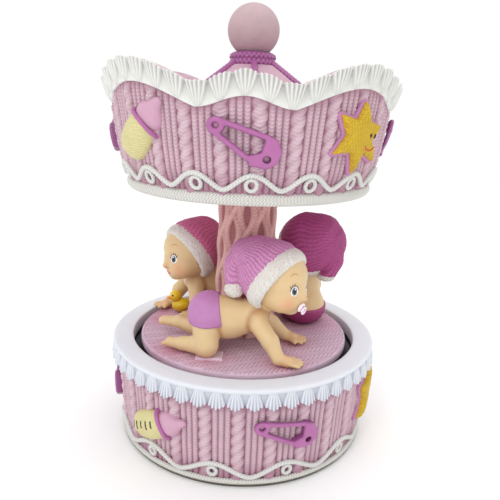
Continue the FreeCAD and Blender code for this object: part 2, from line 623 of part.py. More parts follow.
def winding_key():
    """Butterfly key with a round hub and two pierced wings."""
    hub = post(3.2, KEY_BOTTOM, PLATE_BOTTOM - 0.4)
    wings = []
    for way in (-1, 1):
        middle = V(way * 8.2, 0, KEY_BOTTOM + 3.2)
        wing = Part.makeCylinder(5.4, 1.8, middle - V(0, 0.9, 0), Y_AXIS)
        hole = Part.makeCylinder(2.3, 4, middle + V(way * 0.6, -2, 0), Y_AXIS)
        wings.append(wing.cut(hole))
    body = joined([hub] + wings)
    trim = block((-20, -5, -5), (20, 5, KEY_BOTTOM)).fuse(block((-20, -5, PLATE_BOTTOM - 0.6), (20, 5, 20)))
    return body.cut(trim).cut(post(1.6, 3.6, 20))


# ---- The carousel --------------------------------------------------------------------
COLUMN_PEG_RADIUS = 6.0
PEG_SOCKET_DEPTH = 2.4
CANOPY_CEILING = 103.0
CEILING_THICKNESS = 2.4


def turntable():
    """Knitted disc that the figures crawl on, with a socket for the column."""
    disc = revolved(
        [
            (0, TURNTABLE_BOTTOM),
            (TURNTABLE_RADIUS - 0.8, TURNTABLE_BOTTOM),
            (TURNTABLE_RADIUS, TURNTABLE_BOTTOM + 0.8),
            (TURNTABLE_RADIUS, BASE_TOP - 0.5),
            (TURNTABLE_RADIUS - 0.5, BASE_TOP),
            (0, BASE_TOP),
        ]
    )
    holes = [
        post(3.0, TURNTABLE_BOTTOM - 1, TURNTABLE_BOTTOM + 1.4),
        post(COLUMN_PEG_RADIUS, BASE_TOP - PEG_SOCKET_DEPTH, BASE_TOP + 1),
    ]
    for bearing in HUB_SCREW_BEARINGS:
        at = around(8.4, bearing)
        holes.append(post(SMALL_SCREW_RADIUS, TURNTABLE_BOTTOM - 1, TURNTABLE_BOTTOM + 1.2, at.x, at.y))
    return disc.cut(joined(holes))


def column():
    """Knitted pillar, thicker at its foot, with a glue peg at each end."""
    shaft = revolved(
        [
            (0, BASE_TOP),
            (COLUMN_FOOT_RADIUS, BASE_TOP),
            (COLUMN_TOP_RADIUS, CANOPY_CEILING),
            (0, CANOPY_CEILING),
        ]
    )
    pegs = [
        post(COLUMN_PEG_RADIUS, BASE_TOP - PEG_SOCKET_DEPTH, BASE_TOP + 1),
        post(COLUMN_PEG_RADIUS, CANOPY_CEILING - 1, 114.0),
    ]
    return joined([shaft] + pegs)


def wave_cutters(valley, peak, start, end):
    """Radial cylinders whose lower edges form the canopy's wave between two radii."""
    half_turn = HALF_TURN / WAVE_REPEATS - VALLEY_TURN
    half_chord = EDGE_RADIUS * math.sin(math.radians(half_turn))
    rise = peak - valley
    radius = (half_chord**2 + rise**2) / 2 / rise
    cutters = []
    axis_z = valley + radius
    for n in range(WAVE_REPEATS):
        for side in (-1, 1):
            bearing = WAVE_PHASE + FULL_TURN * n / WAVE_REPEATS + side * VALLEY_TURN
            cutters.append(rod(radius, around(start, bearing, axis_z), around(end, bearing, axis_z)))
    return joined(cutters)


def canopy_valance():
    """Flaring knitted skirt with a white foot ring and a frill that follows its wavy edge."""
    ring_top = CANOPY_BOTTOM + CANOPY_RING_HEIGHT
    outer = [(46.4, ring_top), (49.6, 112.0), (51.0, 120.5), (52.8, 130.0), (54.4, 139.0), (54.9, 148.0)]
    inner = [(51.6, 148.0), (51.0, 139.0), (49.4, 130.0)]
    inner += [(ROOF_EDGE_RADIUS, 121.0), (ROOF_EDGE_RADIUS, 117.0), (43.4, 108.5)]
    edges = [
        line((43.4, CANOPY_BOTTOM), (CANOPY_RING_RADIUS - 0.8, CANOPY_BOTTOM)),
        line((CANOPY_RING_RADIUS - 0.8, CANOPY_BOTTOM), (CANOPY_RING_RADIUS, CANOPY_BOTTOM + 1.2)),
        line((CANOPY_RING_RADIUS, CANOPY_BOTTOM + 1.2), (CANOPY_RING_RADIUS, ring_top)),
        line((CANOPY_RING_RADIUS, ring_top), outer[0]),
        smooth_edge(outer),
        line(outer[-1], inner[0]),
    ]
    edges += [line(a, b) for a, b in zip(inner, inner[1:])]
    edges.append(line(inner[-1], (43.4, CANOPY_BOTTOM)))
    skirt = Part.Face(Part.Wire(edges)).revolve(V(0, 0, 0), Z_AXIS, FULL_TURN)
    frill_outline = [(51.4, 131.5), (54.0, 131.5), (56.2, 141.0), (56.2, 148.0), (53.5, 148.0), (52.5, 139.0)]
    frill = revolved(frill_outline)
    below = wave_cutters(VALLEY_TOP - 7.2, PEAK_TOP - 7.2, 50, 70)
    frill = frill.common(below)
    return skirt.fuse(frill).cut(wave_cutters(VALLEY_TOP, PEAK_TOP, 45, 75)).removeSplitter()


def roof_height(radius):
    return ROOF_COLLAR_BOTTOM - (radius - ROOF_COLLAR_RADIUS) * ROOF_SLOPE


def canopy_roof():
    """Conical roof with six raised ribs, a knitted collar and a boss for the column's peg."""
    edge = roof_height(ROOF_EDGE_RADIUS)
    shell = revolved(
        [
            (0, ROOF_COLLAR_TOP),
            (ROOF_COLLAR_RADIUS - 0.9, ROOF_COLLAR_TOP),
            (ROOF_COLLAR_RADIUS, ROOF_COLLAR_TOP - 0.9),
            (ROOF_COLLAR_RADIUS, ROOF_COLLAR_BOTTOM),
            (ROOF_EDGE_RADIUS, edge),
            (ROOF_EDGE_RADIUS, edge - 2.4),
            (ROOF_EDGE_RADIUS - 2, edge - 2.4),
            (9.5, roof_height(9.5) - 4.0),
            (9.5, CANOPY_CEILING + CEILING_THICKNESS),
            (0, CANOPY_CEILING + CEILING_THICKNESS),
        ]
    )
    ribs = []
    for n in range(6):
        bearing = -86 + 60 * n
        start = around(ROOF_COLLAR_RADIUS - 1, bearing, roof_height(ROOF_COLLAR_RADIUS - 1) - 0.2)
        end = around(ROOF_EDGE_RADIUS - 2.4, bearing, roof_height(ROOF_EDGE_RADIUS - 2.4) - 0.2)
        ribs.append(rod(1.2, start, end))
    socket = post(COLUMN_PEG_RADIUS, CANOPY_CEILING, 114.0)
    ball_socket = post(3.0, ROOF_COLLAR_TOP - 6, ROOF_COLLAR_TOP + 1)
    return joined([shell] + ribs).cut(socket).cut(ball_socket)


def canopy_ceiling():
    """Flat disc glued in the valance's foot; it closes the underside."""
    return pipe(43.4, COLUMN_PEG_RADIUS, CANOPY_CEILING, CANOPY_CEILING + CEILING_THICKNESS)


def finial_ball():
    centre = TOTAL_HEIGHT - BALL_RADIUS
    ball = Part.makeSphere(BALL_RADIUS, V(0, 0, centre))
    ball = ball.cut(block((-20, -20, 100), (20, 20, ROOF_COLLAR_TOP)))
    return ball.fuse(post(3.0, ROOF_COLLAR_TOP - 6, ROOF_COLLAR_TOP + 1)).removeSplitter()


# ---- The three figures ---------------------------------------------------------------
# Each is laid out on the turntable's surface: +X the way it faces, +Y its left, +Z up.
def head_with_hat(centre, turn, tilt):
    """Round head in a knitted hat, its tail behind. turn is to the left, tilt is nose up, in degrees."""
    head = [Part.makeSphere(11.3, V(0, 0, 0))]
    band = Part.makeCylinder(11.7, 4.6, V(0.6, 0, -0.7), V(-0.62, 0, 0.78))
    crown = [Part.makeSphere(11.2, V(-3.2, 0, 4.2)), Part.makeSphere(6.6, V(-9.0, 0, 9.2))]
    tail = limb(V(-12.0, 0, 8.0), V(-15.2, 0, -1.0), 3.6, 3.0)
    bobble = [Part.makeSphere(3.5, V(-15.8, 0, -3.4))]
    shape = joined(head + [band] + crown + tail + bobble)
    shape.rotate(V(0, 0, 0), Y_AXIS, -tilt)
    shape.rotate(V(0, 0, 0), Z_AXIS, turn)
    shape.translate(centre)
    return shape


def placed(shape, x, y, facing):
    """Stands a figure on the turntable and trims it flat where it rests."""
    shape.rotate(V(0, 0, 0), Z_AXIS, facing)
    shape.translate(V(x, y, BASE_TOP))
    under = block((-80, -80, BASE_TOP - 12), (80, 80, BASE_TOP))
    return shape.cut(under)


def crawling_body(hands):
    """Torso, bent knees and straight arms of a crawling figure. hands are the two palms, right then left."""
    parts = limb(V(-13, 0, 15.4), V(7, 0, 14.6), 8.0, 7.0)
    parts += [Part.makeSphere(7.8, V(-3, 0, 12.6))]
    for side, palm in zip((-1, 1), hands):
        shoulder = V(9.5, side * 4.2, 15.0)
        parts += limb(shoulder, palm, 3.6, 2.3)
        parts += limb(palm, palm + V(4.2, side * 0.6, -0.4), 2.3, 1.7)
        knee = V(-11.5, side * 6.6, 4.2)
        ankle = V(-24.0, side * 2.9, 2.9)
        parts += limb(V(-13.5, side * 3.4, 13.5), knee, 5.6, 4.4)
        parts += limb(knee, ankle, 4.0, 2.4)
        parts += limb(ankle, ankle + V(-4.2, side * 0.8, -0.4), 2.4, 1.7)
    return parts


def figure_front():
    """Crawls to the right, looking out."""
    hands = (V(18.5, -11.5, 2.0), V(21.5, 9.0, 2.0))
    body = joined(crawling_body(hands) + [head_with_hat(V(13.5, -1.5, 26.4), -28, -6)])
    return placed(body, -2.8, -23.2, 0)


LEFT_FIGURE = (-16.4, 20.2, 200)


def figure_left():
    """Crawls to the left over a toy duck."""
    hands = (V(16.5, -7.0, 2.0), V(10.0, 9.0, 2.0))
    body = joined(crawling_body(hands) + [head_with_hat(V(13.0, 0.5, 25.4), -12, -4)])
    return placed(body, *LEFT_FIGURE)


def toy_duck():
    """Small toy duck between the left figure's hands."""
    parts = limb(V(12.0, 0.4, 3.2), V(14.6, 0.4, 3.5), 3.2, 2.9)
    parts += [Part.makeSphere(2.5, V(15.8, 0.4, 7.8)), Part.makeSphere(1.0, V(18.2, 0.4, 7.4))]
    return placed(joined(parts), *LEFT_FIGURE)


def figure_right():
    """Sits with its back to the front, legs stretched out."""
    parts = limb(V(-2, 0, 8.2), V(0.2, 0, 20), 8.4, 6.4)
    for side in (-1, 1):
        parts += limb(V(0, side * 4.4, 5.0), V(10, side * 6.6, 4.2), 5.0, 3.9)
        parts += limb(V(10, side * 6.6, 4.2), V(17, side * 6.0, 3.0), 3.8, 2.5)
        parts += limb(V(17, side * 6.0, 3.0), V(18.4, side * 6.2, 6.0), 2.5, 1.8)
        parts += limb(V(1, side * 6.0, 20), V(9.5, side * 7.6, 11.4), 3.3, 2.2)
        parts += [Part.makeSphere(2.3, V(10.5, side * 7.4, 10.0))]
    body = joined(parts + [head_with_hat(V(1.8, 0, 33.0), 0, 0)])
    return placed(body, 26.0, 12.0, 96)


NODES = {
    "felt_ring": felt_ring,
    "base_shell": base_shell,
    "bottom_plate": bottom_plate,
    "plate_screws": plate_screws,
    "movement_screws": movement_screws,
    "bedplate": bedplate,
    "spring_housing": spring_housing,
    "housing_screws": housing_screws,
    "mainspring": mainspring,
    "comb": comb,
    "comb_screws": comb_screws,
    "governor_frame": governor_frame,
    "governor_screw": governor_screw,
    "cylinder_arbor": cylinder_arbor,
    "cylinder_pinion": cylinder_pinion,
    "tune_cylinder": tune_cylinder,
    "train_wheel": train_wheel,
    "governor_wheel": governor_wheel,
    "governor_worm": governor_worm,
    "governor_fan": governor_fan,
    "crown_wheel": crown_wheel,
    "click_pawl": click_pawl,
    "ratchet_wheel": ratchet_wheel,
    "winding_arbor": winding_arbor,
    "winding_key": winding_key,
    "drive_spider": drive_spider,
    "turntable_hub": turntable_hub,
    "hub_screws": hub_screws,
    "turntable": turntable,
    "column": column,
    "canopy_valance": canopy_valance,
    "canopy_roof": canopy_roof,
    "canopy_ceiling": canopy_ceiling,
    "finial_ball": finial_ball,
    "figure_front": figure_front,
    "figure_left": figure_left,
    "figure_right": figure_right,
    "toy_duck": toy_duck,
}


def main():
    os.makedirs("parts", exist_ok=True)
    for name, make in NODES.items():
        shape = make()
        print(name, len(shape.Solids), "solid(s)", round(shape.Volume, 1), "mm3", "valid", shape.isValid())
        shape.exportStep("parts/" + name + ".step")


main()
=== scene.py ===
"""Baby carousel music box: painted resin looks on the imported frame. Millimetres until mesh() scales them."""
import math

import bpy
import numpy as np
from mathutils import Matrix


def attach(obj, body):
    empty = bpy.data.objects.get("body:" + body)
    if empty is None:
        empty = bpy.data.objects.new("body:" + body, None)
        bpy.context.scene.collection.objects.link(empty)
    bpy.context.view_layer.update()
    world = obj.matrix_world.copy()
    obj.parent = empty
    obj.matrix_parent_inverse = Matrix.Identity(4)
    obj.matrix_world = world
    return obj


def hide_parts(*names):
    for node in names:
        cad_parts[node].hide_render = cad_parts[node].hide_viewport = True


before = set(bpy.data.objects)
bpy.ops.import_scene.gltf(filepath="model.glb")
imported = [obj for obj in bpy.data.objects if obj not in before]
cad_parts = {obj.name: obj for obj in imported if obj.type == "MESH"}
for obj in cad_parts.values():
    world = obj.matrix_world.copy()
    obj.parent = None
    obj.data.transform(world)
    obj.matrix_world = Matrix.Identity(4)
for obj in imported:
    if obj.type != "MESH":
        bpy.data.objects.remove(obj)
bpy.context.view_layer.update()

import openvdb
from mathutils import Euler, Matrix, Vector

MM = 0.001

# Driving heights and radii, millimetres
DECK = 41.0  # top of the platform, and of the drum's flat rim
CANOPY_FOOT = 103.0  # underside of the canopy, head of the column
BOWL_FOOT = 117.0  # where the inside of the canopy's skirt meets the roof
ROOF_RIM = (47.9, 120.9)
ROOF_TOP = (8.4, 147.9)
COLUMN_FOOT, COLUMN_HEAD = 12.4, 11.2
CORD_RELIEF = 0.9  # the column's surface lies this far under its outline
BALL_CENTRE, BALL_RADIUS = 160.3, 9.7

# Sockets of a Mix node that mixes colours
FACTOR, LOW, HIGH, MIXED = 0, 6, 7, 2


# ---- Materials -----------------------------------------------------------------------
def srgb(r, g, b):
    """Linear colour of an 8-bit display colour."""
    return tuple((c / 255.0 / 12.92) if c <= 10 else ((c / 255.0 + 0.055) / 1.055) ** 2.4 for c in (r, g, b))


def paint(name, high, low, rough=0.6, mottle=0.06, scale=260.0, bump=0.25, grain=2600.0, metal=0.0, sheen=0.0,
          blush_and_contact_shade=None, coat=0.0):
    """Paint with display colours for high places and for creases, mottling and a fine grain. The crease colour
    is painted shade, mixed in by the relief attribute; a second colour mixed in by the tint attribute is the
    figures' painted blush and the platform's painted contact shade.
    """
    m = bpy.data.materials.new(name)
    m.use_nodes = True
    t = m.node_tree
    n, k = t.nodes, t.links
    b = n["Principled BSDF"]
    a = n.new("ShaderNodeAttribute")
    a.attribute_name = "relief"
    # low is the painted shade colour of creases and dips, high the lit colour of high places; the relief
    # attribute mixes them
    mix = n.new("ShaderNodeMix")
    mix.data_type = "RGBA"
    mix.inputs[LOW].default_value = (*srgb(*low), 1)
    mix.inputs[HIGH].default_value = (*srgb(*high), 1)
    k.new(a.outputs["Fac"], mix.inputs[FACTOR])
    noise = n.new("ShaderNodeTexNoise")
    noise.inputs["Scale"].default_value = scale
    noise.inputs["Detail"].default_value = 5
    coords = n.new("ShaderNodeTexCoord")
    k.new(coords.outputs["Object"], noise.inputs["Vector"])
    ramp = n.new("ShaderNodeMapRange")
    ramp.inputs["From Min"].default_value = 0.3
    ramp.inputs["From Max"].default_value = 0.7
    ramp.inputs["To Min"].default_value = 1 - mottle
    ramp.inputs["To Max"].default_value = 1 + mottle * 0.5
    k.new(noise.outputs["Fac"], ramp.inputs["Value"])
    tone = n.new("ShaderNodeVectorMath")
    tone.operation = "SCALE"
    k.new(mix.outputs[MIXED], tone.inputs[0])
    k.new(ramp.outputs["Result"], tone.inputs["Scale"])
    colour = tone.outputs[0]
    # second colour by the tint attribute: painted blush on the figures, painted contact shade on the platform
    if blush_and_contact_shade:
        s = n.new("ShaderNodeAttribute")
        s.attribute_name = "tint"
        over = n.new("ShaderNodeMix")
        over.data_type = "RGBA"
        over.inputs[HIGH].default_value = (*srgb(*blush_and_contact_shade), 1)
        k.new(s.outputs["Fac"], over.inputs[FACTOR])
        k.new(colour, over.inputs[LOW])
        colour = over.outputs[MIXED]
    k.new(colour, b.inputs["Base Color"])
    fine = n.new("ShaderNodeTexNoise")
    fine.inputs["Scale"].default_value = grain
    fine.inputs["Detail"].default_value = 3
    k.new(coords.outputs["Object"], fine.inputs["Vector"])
    bm = n.new("ShaderNodeBump")
    bm.inputs["Strength"].default_value = bump
    bm.inputs["Distance"].default_value = 0.0002
    k.new(fine.outputs["Fac"], bm.inputs["Height"])
    k.new(bm.outputs["Normal"], b.inputs["Normal"])
    shine = n.new("ShaderNodeMapRange")
    shine.inputs["To Min"].default_value = max(0.05, rough - 0.08)
    shine.inputs["To Max"].default_value = min(1.0, rough + 0.1)
    k.new(noise.outputs["Fac"], shine.inputs["Value"])
    k.new(shine.outputs["Result"], b.inputs["Roughness"])
    b.inputs["Metallic"].default_value = metal
    b.inputs["Sheen Weight"].default_value = sheen
    b.inputs["Coat Weight"].default_value = coat
    return m


# each material's first colour is its lit colour, the second the painted shade colour of its creases (on the
# skin partly its own airbrushed tone)
M = {
    "knit": paint("knit_pink", (214, 188, 197), (158, 106, 128), 0.72, 0.07),
    "column": paint("column_pink", (223, 179, 172), (160, 96, 99), 0.68, 0.08),
    "lilac": paint("roof_lilac", (222, 196, 206), (180, 130, 155), 0.7, 0.06),
    "deck": paint("deck_lilac", (228, 204, 220), (172, 132, 160), 0.68, 0.08, blush_and_contact_shade=(196, 96, 126)),
    "ball": paint("ball_pink", (203, 180, 183), (165, 128, 138), 0.74, 0.07),
    "white": paint("lace_white", (232, 233, 228), (164, 160, 162), 0.55, 0.03),
    "cool": paint("rim_white", (226, 229, 236), (164, 170, 186), 0.5, 0.02),
    "ring": paint("ring_white", (234, 234, 226), (168, 162, 160), 0.68, 0.03),
    "fur": paint("fur_white", (242, 240, 234), (206, 198, 190), 0.85, 0.04, sheen=0.1),
    "orchid": paint("orchid", (178, 102, 160), (120, 50, 110), 0.38, 0.07, coat=0.2),
    "hat_a": paint("hat_orchid", (226, 165, 206), (162, 84, 140), 0.66, 0.08),
    "hat_b": paint("hat_rose", (222, 126, 168), (178, 78, 122), 0.66, 0.08),
    "hat_c": paint("hat_magenta", (196, 90, 152), (136, 46, 102), 0.66, 0.09),
    "nappy_a": paint("nappy_orchid", (190, 128, 180), (148, 78, 136), 0.5, 0.06),
    "nappy_c": paint("nappy_magenta", (170, 66, 122), (120, 30, 82), 0.5, 0.07),
    "skin": paint("skin", (222, 192, 144), (176, 118, 70), 0.42, 0.035,
                  bump=0.08, blush_and_contact_shade=(224, 128, 92), coat=0.1),
    "cream": paint("bottle_cream", (232, 226, 176), (190, 178, 110), 0.6, 0.05),
    "teat": paint("teat_pink", (206, 160, 184), (160, 104, 142), 0.5, 0.05),
    "gold": paint("star_gold", (230, 196, 36), (174, 134, 10), 0.55, 0.08),
    "backing": paint("backing_lilac", (190, 130, 172), (140, 80, 122), 0.6, 0.06),
    "duck": paint("duck_yellow", (234, 200, 40), (200, 146, 20), 0.4, 0.05),
    "beak": paint("beak_orange", (240, 150, 40), (214, 110, 20), 0.4, 0.05),
    "ink": paint("ink_dark", (58, 40, 36), (40, 28, 26), 0.4, 0.05),
    "brow": paint("brow_brown", (206, 158, 104), (190, 140, 90), 0.5, 0.05),
    "eye": paint("eye_white", (250, 250, 250), (226, 226, 230), 0.25, 0.02, bump=0.02),
    "iris": paint("iris_blue", (92, 106, 126), (54, 64, 84), 0.2, 0.15, bump=0.02),
    "pupil": paint("pupil_dark", (20, 22, 32), (14, 14, 20), 0.15, 0.05, bump=0.02),
    "lip": paint("lip_rose", (226, 130, 120), (206, 100, 96), 0.4, 0.05, bump=0.05),
    "dummy": paint("dummy_white", (250, 236, 244), (226, 190, 210), 0.35, 0.03, bump=0.05),
    "smile": paint("smile_red", (206, 84, 40), (190, 70, 30), 0.5, 0.04),
    # dark grey of the recess: painted shade of the narrow gap round the turntable
    "well": paint("recess_shade_grey", (70, 68, 76), (40, 38, 46), 0.35, 0.1, metal=0.4),
    "felt": paint("felt_grey", (132, 128, 116), (92, 88, 78), 0.95, 0.2,
                  scale=900, bump=0.9, grain=5200, sheen=0.2),
    "board": paint("board_black", (44, 44, 48), (30, 30, 34), 0.6, 0.12, bump=0.5, grain=4200),
    "black": paint("fan_black", (34, 34, 38), (20, 20, 22), 0.45, 0.1),
    "zinc": paint("zinc_cast", (176, 178, 182), (150, 150, 156), 0.4, 0.12, metal=0.9, bump=0.4, grain=3600),
    "nickel": paint("nickel_plate", (200, 200, 204), (170, 170, 176), 0.25, 0.08, metal=1.0),
    "steel": paint("blued_steel", (150, 154, 164), (110, 112, 124), 0.28, 0.14,
                   metal=1.0, bump=0.15, grain=5200),
    "screw": paint("screw_plate", (206, 206, 206), (160, 160, 164), 0.22, 0.1, metal=1.0),
    "brass": paint("brass_turned", (220, 176, 92), (176, 128, 52), 0.25, 0.12,
                   metal=1.0, bump=0.15, grain=5200),
}


# ---- Mesh helpers --------------------------------------------------------------------
def mesh(name, verts, quads, mat, body, attrs=None):
    """Piece from millimetre vertices, with its material, the body it rides on and its paint attributes."""
    me = bpy.data.meshes.new(name)
    width = quads.shape[1]
    me.vertices.add(len(verts))
    me.vertices.foreach_set("co", (np.asarray(verts) * MM).astype(np.float32).ravel())
    me.loops.add(quads.size)
    me.loops.foreach_set("vertex_index", quads.astype(np.int32).ravel())
    me.polygons.add(len(quads))
    me.polygons.foreach_set("loop_start", np.arange(0, quads.size, width, dtype=np.int32))
    me.update(calc_edges=True)
    me.polygons.foreach_set("use_smooth", np.ones(len(quads), dtype=bool))
    values = {"relief": np.ones(len(verts))}
    values.update(attrs or {})
    for key, value in values.items():
        me.attributes.new(key, "FLOAT", "POINT").data.foreach_set("value", np.ravel(value).astype(np.float32))
    me.materials.append(M[mat])
    o = bpy.data.objects.new(name, me)
    bpy.context.scene.collection.objects.link(o)
    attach(o, body)
    return o


def sheet_faces(rows, cols, wrap):
    """Quads of a grid, closed round its columns if wrap is true."""
    i = np.arange(rows - 1)[:, None] * cols
    j = np.arange(cols if wrap else cols - 1)[None, :]
    return np.stack([i + j, i + (j + 1) % cols, i + cols + (j + 1) % cols, i + cols + j], -1).reshape(-1, 4)


def surface(name, points, mat, body, wrap=True, attrs=None):
    """Skin over a (rows, columns, 3) grid, its outside on the right of rising rows and columns."""
    rows, cols = points.shape[:2]
    return mesh(name, points.reshape(-1, 3), sheet_faces(rows, cols, wrap), mat, body, attrs)


def ring(az, radius, z):
    """Points at azimuths (0 front, + right), radii and heights."""
    a = np.radians(az)
    radius, z = np.broadcast_arrays(radius + 0 * a, z + 0 * a)
    return np.stack([radius * np.sin(a), -radius * np.cos(a), z], -1)


def lathe(name, profile, mat, body, columns=360, relief=None, bumps=None):
    """Turned piece from (radius, height) stations; bumps(az, s) adds to the radius."""
    stations = np.array(profile, float)
    lengths = np.r_[0, np.cumsum(np.hypot(*np.diff(stations, axis=0).T))]
    az = np.arange(columns) * 360.0 / columns
    A, S = np.meshgrid(az, lengths)
    R = np.repeat(stations[:, :1], columns, 1)
    extra = bumps(A, S) if bumps else 0 * R
    attrs = {"relief": np.clip(relief(A, S), 0, 1)} if relief else None
    points = ring(A, R + extra, np.repeat(stations[:, 1:], columns, 1))
    return surface(name, points, mat, body, True, attrs)


def soften(points, rounds=2):
    """Profile with its corners cut off, each round finer than the last."""
    p = np.array(points, float)
    for _ in range(rounds):
        q = [p[0]]
        for a, b in zip(p, p[1:]):
            q += [a * 0.75 + b * 0.25, a * 0.25 + b * 0.75]
        q.append(p[-1])
        p = np.array(q)
    return p


def tube(path, radius, sides, closed, twist, twist_depth):
    """Swept round section; returns vertices, quads and a relief value for its strands."""
    p = np.asarray(path, float)
    tangent = np.roll(p, -1, 0) - np.roll(p, 1, 0) if closed else np.gradient(p, axis=0)
    tangent /= np.linalg.norm(tangent, axis=1, keepdims=True)
    out = p * [1, 1, 0]
    out /= np.linalg.norm(out, axis=1, keepdims=True) + 1e-9
    side = np.cross(tangent, out)
    side /= np.linalg.norm(side, axis=1, keepdims=True) + 1e-9
    out = np.cross(side, tangent)
    run = np.r_[0, np.cumsum(np.linalg.norm(np.diff(p, axis=0), axis=1))]
    a = np.arange(sides) * 2 * math.pi / sides
    wave = np.cos(2 * a[None, :] + twist * run[:, None])
    r = np.broadcast_to(radius, (len(p),))[:, None] * (1 + twist_depth * wave)
    c, s = np.cos(a)[None, :, None], np.sin(a)[None, :, None]
    v = p[:, None] + r[..., None] * (c * out[:, None] + s * side[:, None])
    rows = len(p)
    i = np.arange(rows if closed else rows - 1)[:, None]
    j = np.arange(sides)[None, :]
    here, after = i * sides, (i + 1) % rows * sides
    q = np.stack([here + j, here + (j + 1) % sides, after + (j + 1) % sides, after + j], -1)
    return v.reshape(-1, 3), q.reshape(-1, 4), (0.5 + 0.5 * wave).ravel()


def gather(parts):
    """Several tubes as one."""
    verts, quads, relief, start = [], [], [], 0
    for v, q, r in parts:
        verts.append(v)
        quads.append(q + start)
        relief.append(r)
        start += len(v)
    return np.concatenate(verts), np.concatenate(quads), np.concatenate(relief)


# ---- Solids from distance fields -----------------------------------------------------
def cap(p, a, b, ra, rb=None):
    """Round-ended limb."""
    rb = ra if rb is None else rb
    a, b = np.array(a, float), np.array(b, float)
    ab = b - a
    t = np.clip(((p - a) @ ab) / (ab @ ab), 0, 1)
    return np.linalg.norm(p - a - t[..., None] * ab, axis=-1) - (ra + (rb - ra) * t)


def egg(p, c, r):
    """Ellipsoid."""
    q = p - np.array(c, float)
    r = np.array(r, float) * np.ones(3)
    k0 = np.linalg.norm(q / r, axis=-1)
    return k0 * (k0 - 1) / (np.linalg.norm(q / r**2, axis=-1) + 1e-9)


def smin(a, b, k):
    """Union of two fields with a fillet of size k."""
    h = np.clip(0.5 + 0.5 * (b - a) / k, 0, 1)
    return b * (1 - h) + a * h - k * h * (1 - h)


def melt(parts, k):
    """Filleted union of any number of fields."""
    d = parts[0]
    for e in parts[1:]:
        d = smin(d, e, k)
    return d


def smax(a, b, k):
    """Intersection of two fields with a rounded edge."""
    return -smin(-a, -b, k)


def axes(yaw=0.0, pitch=0.0, roll=0.0):
    """Rotation from a local frame (x forward, y left, z up), degrees; pitch lifts the nose."""
    return np.array(Euler((math.radians(roll), math.radians(-pitch), math.radians(yaw)), "XYZ").to_matrix())


def solid(name, field, low, high, step, mat, body, place=None, slot="pink_resin", dress=None, relief=None,
          tint=None):
    """Mesh of a distance field over a box. dress(points, normals) gives a height along the normal."""
    low, high = np.array(low, float), np.array(high, float)
    count = np.ceil((high - low) / step).astype(int) + 1
    grid = np.stack(np.meshgrid(*[low[k] + step * np.arange(count[k]) for k in range(3)], indexing="ij"), -1)
    g = openvdb.FloatGrid(4 * step)
    g.copyFromArray(field(grid).astype(np.float32))
    pts, quads = g.convertToQuads(0.0)
    pts = pts.astype(float) * step + low
    e = step * 0.5
    normal = np.stack([field(pts + e * u) - field(pts - e * u) for u in np.eye(3)], -1)
    normal /= np.linalg.norm(normal, axis=1, keepdims=True) + 1e-9
    attrs = {}
    if relief:
        attrs["relief"] = np.clip(relief(pts, normal), 0, 1)
    if tint:
        attrs["tint"] = np.clip(tint(pts, normal), 0, 1)
    if dress:
        h = dress(pts, normal)
        # with no relief given, the dips of the dressing get the darker colour: painted shade in the grooves of
        # hats, fur, star and flask
        if not relief:
            attrs["relief"] = np.clip((h - h.min()) / (np.ptp(h) + 1e-9), 0, 1)
        pts = pts + normal * h[:, None]
    if place:
        pts = place(pts)
    # faces wound the wrong way round enclose a negative volume
    a, b, c = (pts[quads[:, k]] for k in range(3))
    volume = np.einsum("ij,ij->i", a - pts.mean(0), np.cross(b - a, c - a)).sum()
    if volume < 0:
        quads = quads[:, ::-1]
    return mesh(name, pts, quads.astype(int), mat, body, attrs)


# ---- Knitting ------------------------------------------------------------------------
PERIODS = 27  # cables round a wall
PERIOD_STEPS = 46  # mesh columns to a period
CABLE_SHARE = 0.215  # half a cable's width, as a share of a period
CABLE_LENGTH = 8.4
CABLE_SWAY = 0.24


def knit(az, s, radius, phase):
    """Height and 0..1 relief of the knitted wall: one twisted cable and three rib cords to a period."""
    width = 2 * math.pi * radius / PERIODS
    turn = 360.0 / PERIODS
    x = ((az - phase) / turn + 0.5) % 1.0 - 0.5
    number = np.floor((az - phase) / turn + 0.5)
    x = x * width
    cable = CABLE_SHARE * width
    a = 2 * math.pi * (s / CABLE_LENGTH + 0.13 * number)
    sway = CABLE_SWAY * cable
    height = np.zeros_like(x + s)
    for way in (1, -1):
        d = (x - way * sway * np.sin(a)) / (0.78 * cable)
        body = np.sqrt(np.clip(1 - d**2, 0, 1))
        stitch = 0.14 * np.sin(2 * math.pi * (s / 1.25 - np.abs(x) / cable * 0.9))
        h = body * (1.1 + 0.28 * way * np.cos(a) + stitch)
        height = np.maximum(height, h)
    rib_half = (width / 2 - cable) / 3.0
    y = np.abs(x) - cable
    # three cords: one straddles the period's seam, one on each side of it
    c = np.where(y < 2 * rib_half, y - rib_half, y - 3 * rib_half)
    d = c / (rib_half * 0.92)
    rib = np.sqrt(np.clip(1 - d**2, 0, 1)) * (0.7 + 0.15 * np.sin(2 * math.pi * (s / 1.2 - np.abs(d) * 0.6)))
    # relief: lighter on the tops of cables and cords, darker between them, painted shade
    relief = np.where((y > 0) & (rib > height), rib / 0.85, height / 1.4)
    return np.where(y > 0, np.maximum(rib, height), height), np.clip(relief, 0, 1)


def base_radius(z):
    """Radius of the drum's knitted wall."""
    return np.interp(z, [0, 3, 8, 16, 24, 34, 41], [49.0, 49.3, 49.8, 50.4, 50.8, 51.6, 51.9])


def canopy_radius(z):
    """Radius of the canopy's knitted skirt."""
    heights = [102, 106, 112.5, 120, 130, 133.5, 141, 148]
    return np.interp(z, heights, [45.4, 45.8, 48.2, 49.7, 51.2, 51.8, 52.9, 53.6])


LOW_PEAK, HIGH_PEAK, VALLEY, VALLEY_TURN = 143.6, 147.2, 140.0, 17.0


